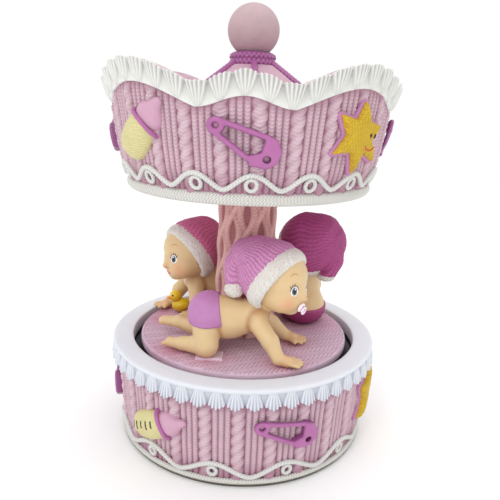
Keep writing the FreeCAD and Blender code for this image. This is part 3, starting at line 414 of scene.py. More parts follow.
def wave(az):
    """Height of the canopy's top edge: low peaks over the pins, broad high ones over stars and flasks."""
    a = np.abs((az + 2.0 + 45.0) % 90.0 - 45.0)
    low = (LOW_PEAK - VALLEY) * (0.5 + 0.5 * np.cos(math.pi * a / VALLEY_TURN))
    climb = np.clip((a - VALLEY_TURN) / (45.0 - VALLEY_TURN), 0, 1)
    high = (HIGH_PEAK - VALLEY) * np.sin(math.pi / 2 * climb) ** 1.1
    return VALLEY + np.where(a < VALLEY_TURN, low, high)


def knit_wall(name, low, high, radius, lean, phase, rows, body, node):
    """Knitted wall in three equal pieces, between two heights that vary with azimuth."""
    slope = np.hypot(1, lean)
    columns = PERIODS // 3 * PERIOD_STEPS + 1
    for third in range(3):
        az = phase + 360.0 / PERIODS / 2 + third * 120.0 + np.linspace(0, 120, columns)
        t = np.linspace(0, 1, rows)[:, None]
        A = az[None, :] + 0 * t
        Z = low(A) + (high(A) - low(A)) * t
        R = radius(Z)
        h, relief = knit(A, Z * slope, R.mean(), phase)
        h = h * np.clip((high(A) - Z) / 4 - 0.6, 0.1, 1)
        # painted shade: darker towards the wall's foot by the piping and under the frill at its top
        relief = relief * np.clip((Z - low(A)) / 9, 0.35, 1) * np.clip((high(A) - Z) / 5 - 0.5, 0.4, 1)
        points = ring(A, R + h, Z)
        surface(f"{name}_{third + 1}", points, "knit", body, False, {"relief": relief})
    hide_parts(node)


def level(z):
    """A height that is the same at every azimuth."""
    return lambda az: z + 0 * az


def below_wave(drop):
    return lambda az: wave(az) - drop


canopy_lean = np.gradient(canopy_radius(np.linspace(100, 148, 97)), 0.5).mean()
knit_wall("base_knit", level(1.6), level(37.5), base_radius, lean=0.05, phase=-0.8, rows=186, body="case",
          node="base_shell")
knit_wall("canopy_knit", level(105.0), below_wave(3.2), canopy_radius, lean=canopy_lean, phase=3.0, rows=200,
          body="carousel", node="canopy_valance")


# ---- Lace frills, rims and rings -----------------------------------------------------
def frill(name, foot, head, radius, out, lean, up, mat, body, shells, phase=-2.0, rows=22, cols=40):
    """Band of ribbed shells. foot and head are heights by azimuth; up opens the fans towards the head."""
    az = phase - 3.6 + np.arange(shells * cols) * 360.0 / (shells * cols)
    t = np.linspace(0, 1, rows)[:, None]
    A = az[None, :] + 0 * t
    a = 2 * (((az[None, :] - phase) / (360.0 / shells) + 0.5) % 1.0) - 1 + 0 * t
    fan = t if up else 1 - t
    half = 0.12 + 0.86 * fan**0.65
    inside = np.abs(a) < half
    q = np.clip(a / half, -1, 1)
    dome = np.sqrt(1 - q**2)
    ribs = 0.5 + 0.5 * np.cos(5 * math.pi * q)
    shell = 0.2 + (0.95 * fan**0.5 + 0.3) * dome + 0.75 * fan**0.6 * ribs * dome**0.3
    lift = np.where(inside, shell, 0.2 - 0.3 * fan)
    crest = 1.15 * np.sqrt(np.clip(1 - a**2, 0, 1)) if up else 1.7 * np.clip(1 - np.abs(a), 0, 1) ** 0.8
    edge = (crest + 0.3 * (0.5 + 0.5 * np.cos(5 * math.pi * a))) * fan**3
    F, H = foot(A), head(A)
    Z = F + (H - F) * t + (edge if up else -edge)
    R = radius(Z) + out + lift + lean * fan
    P = ring(A, R, Z)
    # the lip turns back to the wall behind its open edge
    last = -1 if up else 0
    turned = H[last] - 0.5 if up else F[last] + 0.3
    lip = ring(A[:1], radius(turned) - 1.35, turned)
    mid = ring(A[:1], R[last] - 0.7, Z[last] + (0.15 if up else -0.15))
    foot_in = ring(A[:1], R[-1 if not up else 0] - 1.8, Z[-1 if not up else 0])
    P = np.concatenate([foot_in, P, mid, lip] if up else [lip, mid, P, foot_in])
    # painted shade: darker in the grooves between ribs and in the gaps between the shells towards their open
    # edges
    pleat = 0.25 + 0.75 * ribs * np.clip(fan * 3, 0, 1) + 0.6 * (1 - fan)
    relief = np.where(inside, pleat, 0.4 + 0.6 * (1 - fan))
    one = np.ones_like(relief[:1])
    relief = np.concatenate([one, relief, one, one] if up else [one, one, relief, one])
    return surface(name, P, mat, body, True, {"relief": np.clip(relief, 0, 1)})


frill("canopy_frill", below_wave(7.6), below_wave(1.5), canopy_radius, out=0.8, lean=0.4, up=True,
      mat="white", body="carousel", shells=46)
frill("base_frill", level(35.0), level(40.4), base_radius, out=0.9, lean=0.5, up=False, mat="cool",
      body="case", shells=52)
rim_outline = [(46.2, 36), (46.2, 40.2), (46.5, DECK), (52.6, DECK), (54.0, 40.8), (54.6, 40.0), (53.4, 38.6)]
lathe("base_rim", soften(rim_outline), "cool", "case")
# dark grey in the recess under the turntable: painted shade of the narrow gap round it
well_outline = [(7.2, 30.9), (7.2, 33.6), (46.0, 33.6), (46.25, 34.0), (46.25, 37.5)]
lathe("base_well", soften(well_outline, rounds=1), "well", "case", 240)


def stitched(pitch, depth):
    """Slanting stitches round a cord."""
    return lambda A, S: depth * np.sin(2 * math.pi * (A * 0.9 / pitch + 0.5 * np.sin(2 * math.pi * S / 2.1)))


def arc(c, r, start, end, count):
    """Stations on an ellipse about c, in degrees up from the outward direction."""
    a = np.radians(np.linspace(start, end, count))
    return [(c[0] + r[0] * math.cos(t), c[1] + r[1] * math.sin(t)) for t in a]


# relief: painted shade in the dips between the slanting stitches of the rings
lathe("canopy_ring", arc((45.6, 104.0), (1.9, 2.1), -100, 100, 18), "ring", "carousel", 1080,
      bumps=stitched(1.25, 0.13), relief=lambda A, S: 0.6 + 4 * stitched(1.25, 0.1)(A, S))
lathe("base_ring", arc((50.1, 2.2), (1.1, 1.0), -90, 90, 12), "ring", "case", 1080, bumps=stitched(1.1, 0.07),
      relief=lambda A, S: 0.6 + 5 * stitched(1.1, 0.1)(A, S))
# grey felt foot under the white ring; the grey strip it shows below the ring also stands in for the shade
# under the drum's edge
foot_outline = [(47.2, 1.2), (50.9, 1.2), (51.2, 1.4), (50.6, 1.9)]
lathe("base_foot", soften(foot_outline, rounds=1), "felt", "case", 240)

# inside of the base drum, seen from below round the board
inner_outline = [(47.2, 1.25), (47.25, 9.4), (47.2, 30.5), (44, 31.0), (7.3, 31.0)]
lathe("base_inside", inner_outline, "board", "case", 180)


def piping(name, peaks, top, trough, count, radius, body, curl, z_curl):
    """Wavy cord laid on the wall with a small curl under each crest."""
    az = np.arange(0, 360, 0.5)
    ph = (az - peaks) * count / 360.0
    c = 0.5 + 0.5 * np.cos(2 * math.pi * ph)
    z = trough + (top - trough) * c**0.85
    parts = [tube(ring(az, radius(z) + 1.25, z), 0.86, 10, True, 5.2, 0.12)]
    for k in range(count):
        centre = peaks + k * 360.0 / count
        t = np.radians(np.arange(0, 360, 15))
        side = 1 if k % 2 else -1
        x = side * (0.35 + curl * np.sin(t))
        zz = z_curl + curl * 1.12 * np.cos(t)
        path = ring(centre + np.degrees(x / radius(zz)), radius(zz) + 1.2, zz)
        parts.append(tube(path, 0.68, 8, True, 5.2, 0.1))
    v, q, r = gather(parts)
    # relief: painted shade between the twisted strands
    mesh(name, v, q, "white", body, {"relief": 0.4 + 0.6 * r})


piping("canopy_piping", peaks=1.5, top=112.2, trough=107.2, count=16, radius=canopy_radius, body="carousel",
       curl=1.7, z_curl=108.9)
piping("base_piping", peaks=-10.5, top=9.4, trough=4.2, count=12, radius=base_radius, body="case", curl=1.5,
       z_curl=6.2)

# inside of the canopy's bowl, behind the frill
az = np.arange(0, 360, 1.0)
t = np.linspace(0, 1, 14)[:, None]
bowl_top = wave(az)[None, :] - 0.6
Z = BOWL_FOOT + (bowl_top - BOWL_FOOT) * t
bowl = ring(az[None, :] + 0 * t, canopy_radius(Z) - 1.2 - 1.5 * (1 - t), Z)
surface("canopy_bowl", bowl[:, ::-1], "lilac", "carousel")
lathe("canopy_foot", [(45.9, 101.9), (43.6, 102.0), (43.3, CANOPY_FOOT)], "ring", "carousel", 240)


# ---- Roof, collar, ball, ceiling, column, turntable ----------------------------------
def small_knit(A, S, pitch_az, pitch_s, depth):
    """Columns of vee stitches round a turned piece."""
    x = (A / pitch_az) % 1.0 - 0.5
    v = 0.5 + 0.5 * np.cos(2 * math.pi * (S / pitch_s + 0.45 * np.abs(x) * 2))
    return depth * (0.5 + 0.5 * np.cos(2 * math.pi * x)) * 0.7 + depth * 0.3 * v


def straight(foot, head, count):
    """Stations from foot to head, each (radius, height)."""
    return np.linspace(np.array(foot, float), np.array(head, float), count)


def roof_knit(A, S):
    return small_knit(A, S, 3.0, 1.1, 0.4)


# relief of the roof and its ribs: painted shade in the dips between stitches and between strands
lathe("canopy_roof_knit", straight(ROOF_RIM, ROOF_TOP, 112), "lilac", "carousel", 840, bumps=roof_knit,
      relief=lambda A, S: roof_knit(A, S) / 0.4)
ribs = []
reach = np.linspace(ROOF_TOP[0], 46.5, 60)
for n in range(6):
    path = ring(4.0 + 60 * n + 0 * reach, reach, ROOF_TOP[1] + 0.5 - (reach - 8.6) * 0.687)
    ribs.append(tube(path, 1.15, 12, False, 4.0, 0.07))
v, q, r = gather(ribs)
roof_ribs = mesh("canopy_roof_ribs", v, q, "orchid", "carousel", {"relief": 0.4 + 0.6 * r})
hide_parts("canopy_roof")


def collar_bumps(A, S):
    return 0.22 * np.sin(np.radians(A * 30)) * np.sin(math.pi * S / 1.3)


def ball_bumps(A, S):
    return 0.05 * np.sin(np.radians(A * 44)) * np.sin(2 * math.pi * S / 1.2)


collar = [(7.0, 147.0), (8.4, 147.6), (9.0, 148.7), (8.3, 149.7), (8.9, 150.8), (8.2, 152.0), (6.6, 152.6)]
# relief of the collar and ball: painted shade in the dips between stitches
lathe("canopy_collar", soften(collar), "orchid", "carousel", 360, bumps=collar_bumps,
      relief=lambda A, S: 0.6 + 2 * collar_bumps(A, S))
ball_outline = arc((0.001, BALL_CENTRE), (BALL_RADIUS, BALL_RADIUS), -52, 90, 110)
ball = lathe("ball", ball_outline, "ball", "carousel", 352, bumps=ball_bumps,
             relief=lambda A, S: 0.7 + 4 * ball_bumps(A, S))
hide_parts("finial_ball")


def braid(A, S):
    """Interlaced cords forming pointed arches, over fine stitches."""
    arch, spacing, half_width = 31.0, 12.3, 1.75
    best = np.zeros_like(A)
    for k in (0, 1):
        turn = 2 * math.pi * (S / arch + 0.25 * k) + 0.6
        for way in (1, -1):
            sway = 0.5 * k + 0.25 * way * np.sin(turn)
            d = ((A / 60.0 - sway + 0.5) % 1.0 - 0.5) * spacing / half_width
            strands = 0.16 * np.sin(2 * math.pi * (S / 1.3 - np.abs(d) * 0.7))
            h = np.sqrt(np.clip(1 - d**2, 0, 1)) * (1.15 + 0.28 * way * np.cos(turn) + strands)
            best = np.maximum(best, h)
    ground = 0.16 * (0.5 + 0.5 * np.cos(2 * math.pi * (S / 1.1 + 0.5 * np.abs((A / 7.5) % 1 - 0.5))))
    return np.maximum(best, ground)


column_outline = straight((COLUMN_FOOT - CORD_RELIEF, DECK), (COLUMN_HEAD - CORD_RELIEF, CANOPY_FOOT), 204)
# relief: painted shade in the dips between the braided cords
column = lathe("column_braid", column_outline, "column", "carousel", 480, bumps=braid,
               relief=lambda A, S: braid(A, S) / 1.3)
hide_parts("column")


def herringbone(X, Y):
    """Bands of slanting stitches across the platform, 0 to 1."""
    along, across = X * 0.94 + Y * 0.34, -X * 0.34 + Y * 0.94
    band, pitch, slant = 3.0, 1.9, 3.4
    fold = np.abs((across / (2 * band)) % 1 - 0.5)
    stitches = 0.5 + 0.5 * np.cos(2 * math.pi * (along / pitch + slant * fold))
    return stitches * (0.4 + 0.6 * np.abs(np.sin(math.pi * across / band)) ** 0.5)


# platform: knitted disc with a rolled edge, with rosy painted contact shade round the spots where the figures
# rest on it, and a pad under a knee
TOUCHED = [(16, -33, 7), (20, -13, 7), (-13, -29, 8), (-27, -24, 8), (26, 14, 13), (-38, 18, 8), (-36, 8, 8),
           (-12, 26, 9)]
disc = soften([(0.5, 36.9), (42.6, 36.9), (43.1, 37.6), (43.2, 39.6), (42.9, 40.6), (42.2, 40.95)])
disc = np.concatenate([disc, straight((42.0, 40.85), (0.5, 40.85), 124)])
az = np.arange(680) * 360.0 / 680
A = az[None, :] + 0 * disc[:, :1]
R = disc[:, :1] + 0 * A
X, Y = R * np.sin(np.radians(A)), -R * np.cos(np.radians(A))
stitch = np.where(disc[:, 1:] > 40.7, herringbone(X, Y), 0.6)
contact_shade = np.max([np.exp(-(((X - cx) ** 2 + (Y - cy) ** 2) / cr**2)) for cx, cy, cr in TOUCHED], axis=0)
platform = ring(A, R, disc[:, 1:] + 0.3 * (stitch - 0.6))
# relief is painted shade between the stitches; tint is painted contact shade
shades = {"relief": 0.25 + 0.75 * stitch, "tint": 0.5 * contact_shade}
turntable = surface("turntable_knit", platform, "deck", "carousel", True, shades)
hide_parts("turntable")


def pad(p):
    return np.max(np.abs(p - [-12.6, -29.3, DECK]) - [4.9, 3.2, 0.4], -1) - 0.2


solid("knee_pad", pad, (-18.2, -33.4, 40), (-7.0, -25.2, 42.2), 0.25, "deck", "carousel", slot="lilac_resin")


# ---- Motifs cast on the walls --------------------------------------------------------
def on_wall(radius, az0, z0, tilt=0.0, lift=0.4):
    """Placement of a flat relief (x right, y up, z out) on a wall."""
    c, s = math.cos(math.radians(tilt)), math.sin(math.radians(tilt))

    def place(p):
        x, y = p[:, 0] * c - p[:, 1] * s, p[:, 0] * s + p[:, 1] * c
        z = z0 + y * 0.94
        r = radius(z)
        return ring(az0 + np.degrees(x / r), r + lift + p[:, 2], z)

    return place


def outline(p, corners):
    """Signed distance to a polygon in the XY plane."""
    q = p[..., :2]
    v = np.array(corners, float)
    d = np.full(q.shape[:-1], 1e9)
    sign = np.ones(q.shape[:-1])
    for a, b in zip(v, np.roll(v, 1, 0)):
        e, w = b - a, q - a
        t = np.clip((w @ e) / (e @ e), 0, 1)
        d = np.minimum(d, ((w - t[..., None] * e) ** 2).sum(-1))
        c = np.stack([q[..., 1] >= a[1], q[..., 1] < b[1], e[0] * w[..., 1] > e[1] * w[..., 0]])
        sign = np.where(c.all(0) | (~c).all(0), -sign, sign)
    return sign * np.sqrt(d)


def plaque(p, corners, low, high, soft, inset=0.0):
    """Polygon from one height to another with a rounded edge."""
    d = outline(p, corners) + soft + inset
    w = np.abs(p[..., 2] - (low + high) / 2) - (high - low) / 2 + soft
    return np.hypot(np.maximum(d, 0), np.maximum(w, 0)) + np.minimum(np.maximum(d, w), 0) - soft


def grainy(depth, pitch):
    """Small irregular bumps, like stippled plaster."""

    def dress(p, n):
        f = 2 * math.pi / pitch
        x, y, z = f * p.T
        a = np.sin(x + 1.3 * np.sin(0.6 * y)) * np.sin(y + 1.7 * np.sin(0.7 * z))
        return depth * (a + 0.5 * np.sin(1.9 * (z + x) + 2 * a))

    return dress


PIN_HEAD = [(14.0, 5.2), (17.5, 5.4), (20.6, 2.6), (21.3, -1.2), (19.6, -4.4), (14.6, -6.0), (12.6, -3.4),
            (15.4, -0.6)]


def safety_pin(p):
    """Nappy pin: coil at the origin, two bars and a capped head on +X."""
    q = p - np.array([0, 0, 1.9])
    coil = np.hypot(np.hypot(q[..., 0], q[..., 1]) - 1.8, q[..., 2]) - 0.95
    upper, lower = ((0.3, 1.9, 0), (14.8, 4.4, 0)), ((-0.4, -1.8, 0), (13.4, -4.2, 0))
    bars = smin(cap(q, *upper, 0.92), cap(q, *lower, 0.92), 0.3)
    head = plaque(p, PIN_HEAD, 0.0, 3.3, 0.8)
    head = smax(head, -(np.hypot(p[..., 0] - 17.9, p[..., 1] + 1.6) - 1.15), 0.4)
    return melt([smin(coil, bars, 0.5), head], 0.5)


def star_corners(tips, waist):
    """Outline with a waist point between each two tips."""
    out = []
    for tip, after in zip(tips, tips[1:] + tips[:1]):
        middle = (np.array(tip) + after) / 2
        out += [tip, tuple(middle / np.linalg.norm(middle) * waist)]
    return out


STAR = star_corners([(-1.2, 12.0), (-10.6, 6.6), (-10.2, -7.0), (0.8, -13.4), (12.0, -8.6), (10.8, 4.6)], 6.4)


def flask(p):
    """Bottle lying along X, neck towards +X."""
    ends = np.maximum(p[..., 0] - 2.4, -p[..., 0] - 11.2)
    barrel = smax(egg(p, (-4.6, 0, 0.6), (9.5, 5.4, 3.6)), ends, 1.6)
    return smin(barrel, cap(p, (-7.2, 0, -0.2), (1.0, 0, -0.2), 4.5), 1.2)


def flask_collar(p):
    bowed = p + np.array([0.045, 0, 0]) * (p[..., 1:2] ** 2)
    x, y, z = (bowed[..., k] for k in range(3))
    return np.hypot((x - 3.1) / 0.8, np.hypot(y, z * 1.25) - 5.1) - 0.8


def flask_teat(p):
    teat = smin(egg(p, (4.4, 0, 0.2), (4.2, 4.5, 3.5)), cap(p, (7.4, 0, 1.2), (10.4, 0, 1.3), 1.9, 1.25), 2.2)
    return smax(teat, 2.6 - p[..., 0], 0.3)


def flask_ticks(p):
    """Five short graduation marks, painted on."""
    flat = p * np.array([1, 1, 0])
    feet = [(-9.6 + 2.3 * i, 0.2 - (i % 2) * 0.5) for i in range(5)]
    marks = np.min([cap(flat, (x, y, 0), (x + 0.2, 2.2, 0), 0.26) for x, y in feet], axis=0)
    return np.maximum(smax(marks, flask(p) - 0.16, 0.05), 2.9 - p[..., 2])


def smile(p):
    grin = [(1.4 + 1.35 * i, -3.0 - 1.9 * math.sin(math.pi * (i + 0.3) / 4.6), 3.8) for i in range(5)]
    return np.min([cap(p, a, b, 0.27) for a, b in zip(grin, grin[1:])], axis=0)


def motif(kind, name, radius, az, z, body, tilt, size=1.0, ticks=False):
    """A pin, star or flask (feeding bottle) on a wall, as several painted parts."""
    stand = on_wall(radius, az, z, tilt)

    def place(p):
        return stand(p * [size, size, 1])

    def add(part, field, low, high, mat, step=0.3, **more):
        solid(f"{name}_{part}", field, low, high, step, mat, body, place, **more)

    def button(part, centre, radii, reach, mat, step):
        centre = np.array(centre, float)
        add(part, lambda p: egg(p, centre, radii), centre - reach, centre + reach, mat, step)

    if kind == "pin":
        button("eye0", (-10.4, 0, 0.9), (1.3, 1.3, 0.7), (2, 2, 1.1), "teat", 0.25)
        button("eye1", (7.5, -1.6, 0.9), (1.35, 1.35, 0.7), (2, 2, 1.1), "teat", 0.25)
        # relief: painted shade, lighter where the pin faces out from the wall, darker on its sides and low
        # edges
        add("pin", lambda p: safety_pin(p + np.array([10.4, 0, 0])), (-14, -7.5, -0.5), (12.5, 7.5, 4.2),
            "orchid", 0.26, relief=lambda p, n: 0.35 + 0.65 * n[:, 2] * (p[:, 2] > 0.6))
    elif kind == "star":
        add("back", lambda p: plaque(p, STAR, -0.2, 1.5, 0.6, -1.2), (-14, -17, -1), (16, 15, 2.4),
            "backing", 0.4)
        add("star", lambda p: plaque(p, STAR, 0.4, 2.9, 1.5, 0.7) - 0.9, (-13, -15, 0), (14, 14, 4), "gold",
            dress=grainy(0.14, 1.25))
        button("eye0", (3.2, 0.6, 3.82), (0.42, 0.95, 0.4), (1, 1.6, 0.82), "ink", 0.12)
        button("eye1", (5.6, 0.6, 3.82), (0.42, 0.95, 0.4), (1, 1.6, 0.82), "ink", 0.12)
        add("smile", smile, (0.4, -6, 3.2), (8, -1.6, 4.4), "smile", 0.14)
    else:
        add("flask", flask, (-13, -6, -0.3), (4, 6, 5), "cream", 0.3, dress=grainy(0.06, 1.0))
        add("collar", flask_collar, (0.5, -7.2, -0.3), (5, 7.2, 6.2), "orchid", 0.22)
        add("teat", flask_teat, (2, -6, -0.3), (13.4, 6, 5), "teat", 0.28)
        if ticks:
            add("ticks", flask_ticks, (-10.8, -1.6, 2.6), (1.2, 3.2, 5.2), "ink", 0.1)


for turn in (0, 90, 180, 270):
    motif("pin", f"canopy_pin_{turn}", canopy_radius, -1.0 + turn, 122.4, "carousel", -29.5, 1.02)
for turn in (0, 180):
    motif("star", f"canopy_star_{turn}", canopy_radius, 42.4 + turn, 124.8, "carousel", -5, 0.95)
    motif("flask", f"canopy_flask_{turn}", canopy_radius, -42.6 + turn, 125.4, "carousel", 44, 1.18)
ON_DRUM = [
    # kind, azimuth, height, tilt, size
    ("pin", 19.4, 22.6, -18, 1.0),
    ("flask", -35.0, 19.4, 24, 1.12),
    ("pin", -87, 19.5, -18, 1.0),
    ("star", 75, 20.8, 0, 1.1),
    ("flask", 138, 18.4, 9, 1.2),
    ("star", -150, 18.4, 0, 0.92),
]
for kind, az0, z0, tilt, size in ON_DRUM:
    motif(kind, f"base_{kind}_{int(az0) % 360}", base_radius, az0, z0, "case", tilt, size, True)


# ---- Figures -------------------------------------------------------------------------
HAT_AXIS = np.array([-0.943, 0, 0.334])  # from a hat's rim to its crown, in the head's own frame
WALES = 46  # ribs round a hat
EYE = [
    # part, place towards the temple and up, half width, half height, reach, how proud of the skin, paint
    ("eye", 0, 0, 1.7, 1.8, 2.5, 0.06, "eye"),
    ("iris", -0.1, -0.1, 1.2, 1.4, 2.2, 0.11, "iris"),
    ("pupil", -0.12, -0.15, 0.66, 0.82, 1.7, 0.15, "pupil"),
    ("glint", -0.5, 0.6, 0.32, 0.34, 1.6, 0.19, "eye"),
]
PINK_SKIN = "skin_resin"
LILAC = "lilac_resin"


def bumps3(p, pitch, depth):
    """Fluffy bumps in every direction."""
    f = 2 * math.pi / pitch
    x, y, z = f * p.T
    a = np.sin(x + 1.1 * np.sin(0.5 * y)) * np.sin(y + 1.3 * np.sin(0.6 * z))
    b = np.sin(1.1 * z + 2.0 * a) * np.sin(0.8 * x + 0.7)
    return depth * (a + b)


def face(q, s):
    """Skull, cheeks, nose, lips and ears in the head's own frame."""
    q = q / s
    skull = melt([egg(q, (-0.4, 0, 1.4), (11.2, 10.9, 10.9)), egg(q, (3.0, 0, -4.4), (8.4, 8.8, 6.6))], 3.0)
    cheeks = melt([egg(q, (6.2, w * 4.6, -4.6), (4.1, 4.0, 3.9)) for w in (1, -1)], 2.0)
    d = melt([skull, cheeks, egg(q, (8.0, 0, -8.0), (2.7, 2.7, 2.4))], 2.2)
    bridge = cap(q, (10.3, 0, 1.4), (11.5, 0, -1.9), 0.8, 1.0)
    d = smin(d, smin(egg(q, (11.9, 0, -2.4), (1.5, 1.35, 1.15)), bridge, 0.8), 1.3)
    for w in (1, -1):
        # shallow sockets under the brow, then the ears
        d = smax(d, -egg(q, (11.6, w * 5.0, 2.0), (2.5, 2.3, 2.1)), 1.6)
        hollow = egg(q, (-1.2, w * 11.2, -2.6), (1.0, 0.8, 1.4))
        ear = smax(egg(q, (-1.8, w * 9.9, -2.6), (1.8, 1.2, 2.4)), -hollow, 0.5)
        d = smin(d, ear, 0.7)
    lips = melt([egg(q, (10.6, 0, -5.6), (1.1, 1.9, 0.62)), egg(q, (10.2, 0, -6.6), (1.1, 1.5, 0.62))], 0.35)
    return smin(d, lips, 0.6) * s


def hand(p, wrist, way, side, r=2.0):
    """Palm and four fingers with a thumb, flat on the floor. way is the direction of the fingers."""
    w, d = np.array(wrist, float), np.array([*way, 0.0])
    d /= np.linalg.norm(d)
    n = np.array([-d[1], d[0], 0]) * side
    palm = w + d * 3.6 + [0, 0, -1.0]
    parts = [cap(p, w, palm, r, r * 1.08)]
    for i, (o, reach) in enumerate(((-1.9, 4.2), (-0.65, 5.1), (0.7, 5.0), (1.95, 4.1))):
        tip = palm + n * o * 1.4 + d * reach + [0, 0, -0.3]
        parts.append(cap(p, palm + n * o + d * 1.0, tip, 0.92, 0.72))
    parts.append(cap(p, palm - n * 1.9, palm - n * 3.9 + d * 2.0 + [0, 0, -0.2], 1.0, 0.78))
    return melt(parts, 0.5)


def foot(p, ankle, toe, side, r=2.3):
    """Heel, sole and five toes."""
    a, t = np.array(ankle, float), np.array(toe, float)
    d = (t - a) / np.linalg.norm(t - a)
    n = np.cross([0, 0, 1], d) * side
    parts = [cap(p, a, t, r, r * 0.86), egg(p, a - d * 0.6 + [0, 0, 0.3], (r * 1.1,) * 3)]
    for i, o in enumerate((-1.6, -0.6, 0.25, 1.0, 1.65)):
        parts.append(egg(p, t + n * o + d * (2.0 - 0.32 * i) + [0, 0, -0.2], (0.95 - 0.08 * i,) * 3))
    return melt(parts, 0.5)


def crawler(p, arms, legs):
    """Parts of a body on hands and knees. arms: elbow, wrist, fingers' direction. legs: knee, ankle, toe."""
    hips = egg(p, (-10.6, 0, 15.4), (7.4, 7.6, 7.6))
    belly = egg(p, (-3.2, 0, 13.4), (9.6, 7.8, 8.2))
    chest = egg(p, (5.2, 0, 14.6), (6.6, 6.8, 6.0))
    parts = [melt([hips, belly, chest], 3.0)]
    for side, (elbow, wrist, way) in zip((-1, 1), arms):
        arm = melt([cap(p, (7.5, side * 4.6, 14.2), elbow, 3.8, 3.2), cap(p, elbow, wrist, 3.2, 2.4)], 1.0)
        parts.append(smin(arm, hand(p, wrist, way, side), 0.8))
    for side, (knee, ankle, toe) in zip((-1, 1), legs):
        leg = melt([cap(p, (-11.2, side * 3.8, 12.8), knee, 5.8, 4.5), cap(p, knee, ankle, 4.3, 2.5)], 1.2)
        parts.append(smin(leg, foot(p, ankle, toe, side), 1.0))
    return parts


def sitter(p):
    """Parts of a body that sits with its legs out in front and its hands on its knees."""
    parts = [melt([egg(p, (-2.0, 0, 8.0), (8.8, 9.0, 8.4)), egg(p, (0.2, 0, 17.0), (6.6, 7.2, 8.0))], 3.0)]
    for side in (-1, 1):
        hip, knee, ankle = (1, side * 4.6, 5.2), (10, side * 7.2, 4.4), (15.6, side * 4.8, 2.9)
        leg = melt([cap(p, hip, knee, 5.0, 3.8), cap(p, knee, ankle, 3.7, 2.4)], 1.0)
        parts.append(smin(leg, foot(p, (16, side * 4.6, 3.0), (18.6, side * 4.0, 6.0), side), 0.8))
        shoulder, elbow, wrist = (1.4, side * 4.8, 20.6), (6.4, side * 6.8, 14.2), (10.8, side * 5.6, 11.0)
        arm = melt([cap(p, shoulder, elbow, 3.0, 2.6), cap(p, elbow, wrist, 2.5, 1.9)], 0.8)
        parts.append(smin(arm, egg(p, (11.6, side * 5.2, 10.6), (2.4, 1.9, 1.7)), 0.8))
    return parts


def chain(p, balls, k):
    """Tapered links from each (x, y, z, radius) to the next."""
    return melt([cap(p, u[:3], v[:3], u[3], v[3]) for u, v in zip(balls, balls[1:])], k)


def seat(y, z, size):
    """Point of the face's surface in front of (y, z)."""
    x = np.linspace(4, 15, 331) * size
    probe = np.stack([x, 0 * x + y * size, 0 * x + z * size], 1)
    inside = np.where(face(probe, size) < 0)[0]
    return np.array([x[inside[-1]], y * size, z * size])


def brush(f, strokes, start, end):
    """Painted strokes, each from one (x, y) to another."""
    flat = f * [1, 1, 0]
    return np.min([cap(flat, (*u, 0), (*v, 0), start, end) for u, v in strokes], axis=0)


def painted_face(name, size, place_head, soother):
    """Eyes with lashes and brows, and lips or a soother."""

    def patch(part, y, z, shape, reach, out, mat):
        c = seat(y, z, size)
        u = c * [1, 1, 0]
        u /= np.linalg.norm(u)
        side, up = np.array([-u[1], u[0], 0]), np.array([0, 0, 1.0])

        def field(p):
            w = p - c
            flat = np.stack([w @ side, w @ up, w @ u], -1)
            return np.maximum(face(p, size) - out, shape(flat))

        solid(f"{name}_{part}", field, c - reach, c + reach, 0.1, mat, "carousel", place_head, PINK_SKIN)

    lid = [(-1.85, 0.25), (-1.25, 1.45), (0, 2.0), (1.25, 1.5), (1.85, 0.4)]
    arch = [(-1.5, -0.35), (-0.7, 0.25), (0.3, 0.35), (1.4, -0.2)]
    for w, tag in ((-1, "r"), (1, "l")):
        ey, ez = w * 4.4, 0.9
        for part, x, y, rx, ry, reach, proud, mat in EYE:
            patch(f"{part}_{tag}", ey, ez, lambda f: egg(f, (w * x, y, 0), (rx, ry, 3)), reach, proud, mat)
        roots = [(w * 0.2, 1.95), (w * 0.95, 1.7), (w * 1.6, 1.05)]
        lashes = [((x, y), (x * 1.35 + w * 0.25, y + 0.95)) for x, y in roots]
        strokes = list(zip(lid, lid[1:])) + lashes
        patch(f"lash_{tag}", ey, ez, lambda f: brush(f, strokes, 0.17, 0.1), 3.6, 0.13, "ink")
        arched = list(zip(arch, arch[1:]))
        patch(f"brow_{tag}", w * 4.6, 6.9, lambda f: brush(f, arched, 0.2, 0.14), 2.4, 0.07, "brow")
    if not soother:
        patch("lips", 0, -6.0, lambda f: egg(f, (0, 0, 0), (1.6, 1.0, 3)), 2.4, 0.05, "lip")
        return

    c = np.array([12.0, 0, -6.0]) * size

    def loop(p):
        x, y, z = (p[..., k] - c[k] for k in range(3))
        return np.hypot(np.hypot(y, (z + 0.8) * 1.05) - 1.25, x - 1.25) - 0.4

    def add(part, field, below, above, step, mat):
        solid(f"{name}_{part}", field, c - below, c + above, step, mat, "carousel", place_head, PINK_SKIN)

    add("shield", lambda p: egg(p, c, (0.75, 2.5, 1.7)), 3, 3, 0.14, "dummy")
    add("loop", loop, 3.4, 3.4, 0.12, "dummy")
    add("knob", lambda p: egg(p, c + [0.8, 0, 0], (0.7, 0.85, 0.85)), 2, 2.4, 0.14, "orchid")


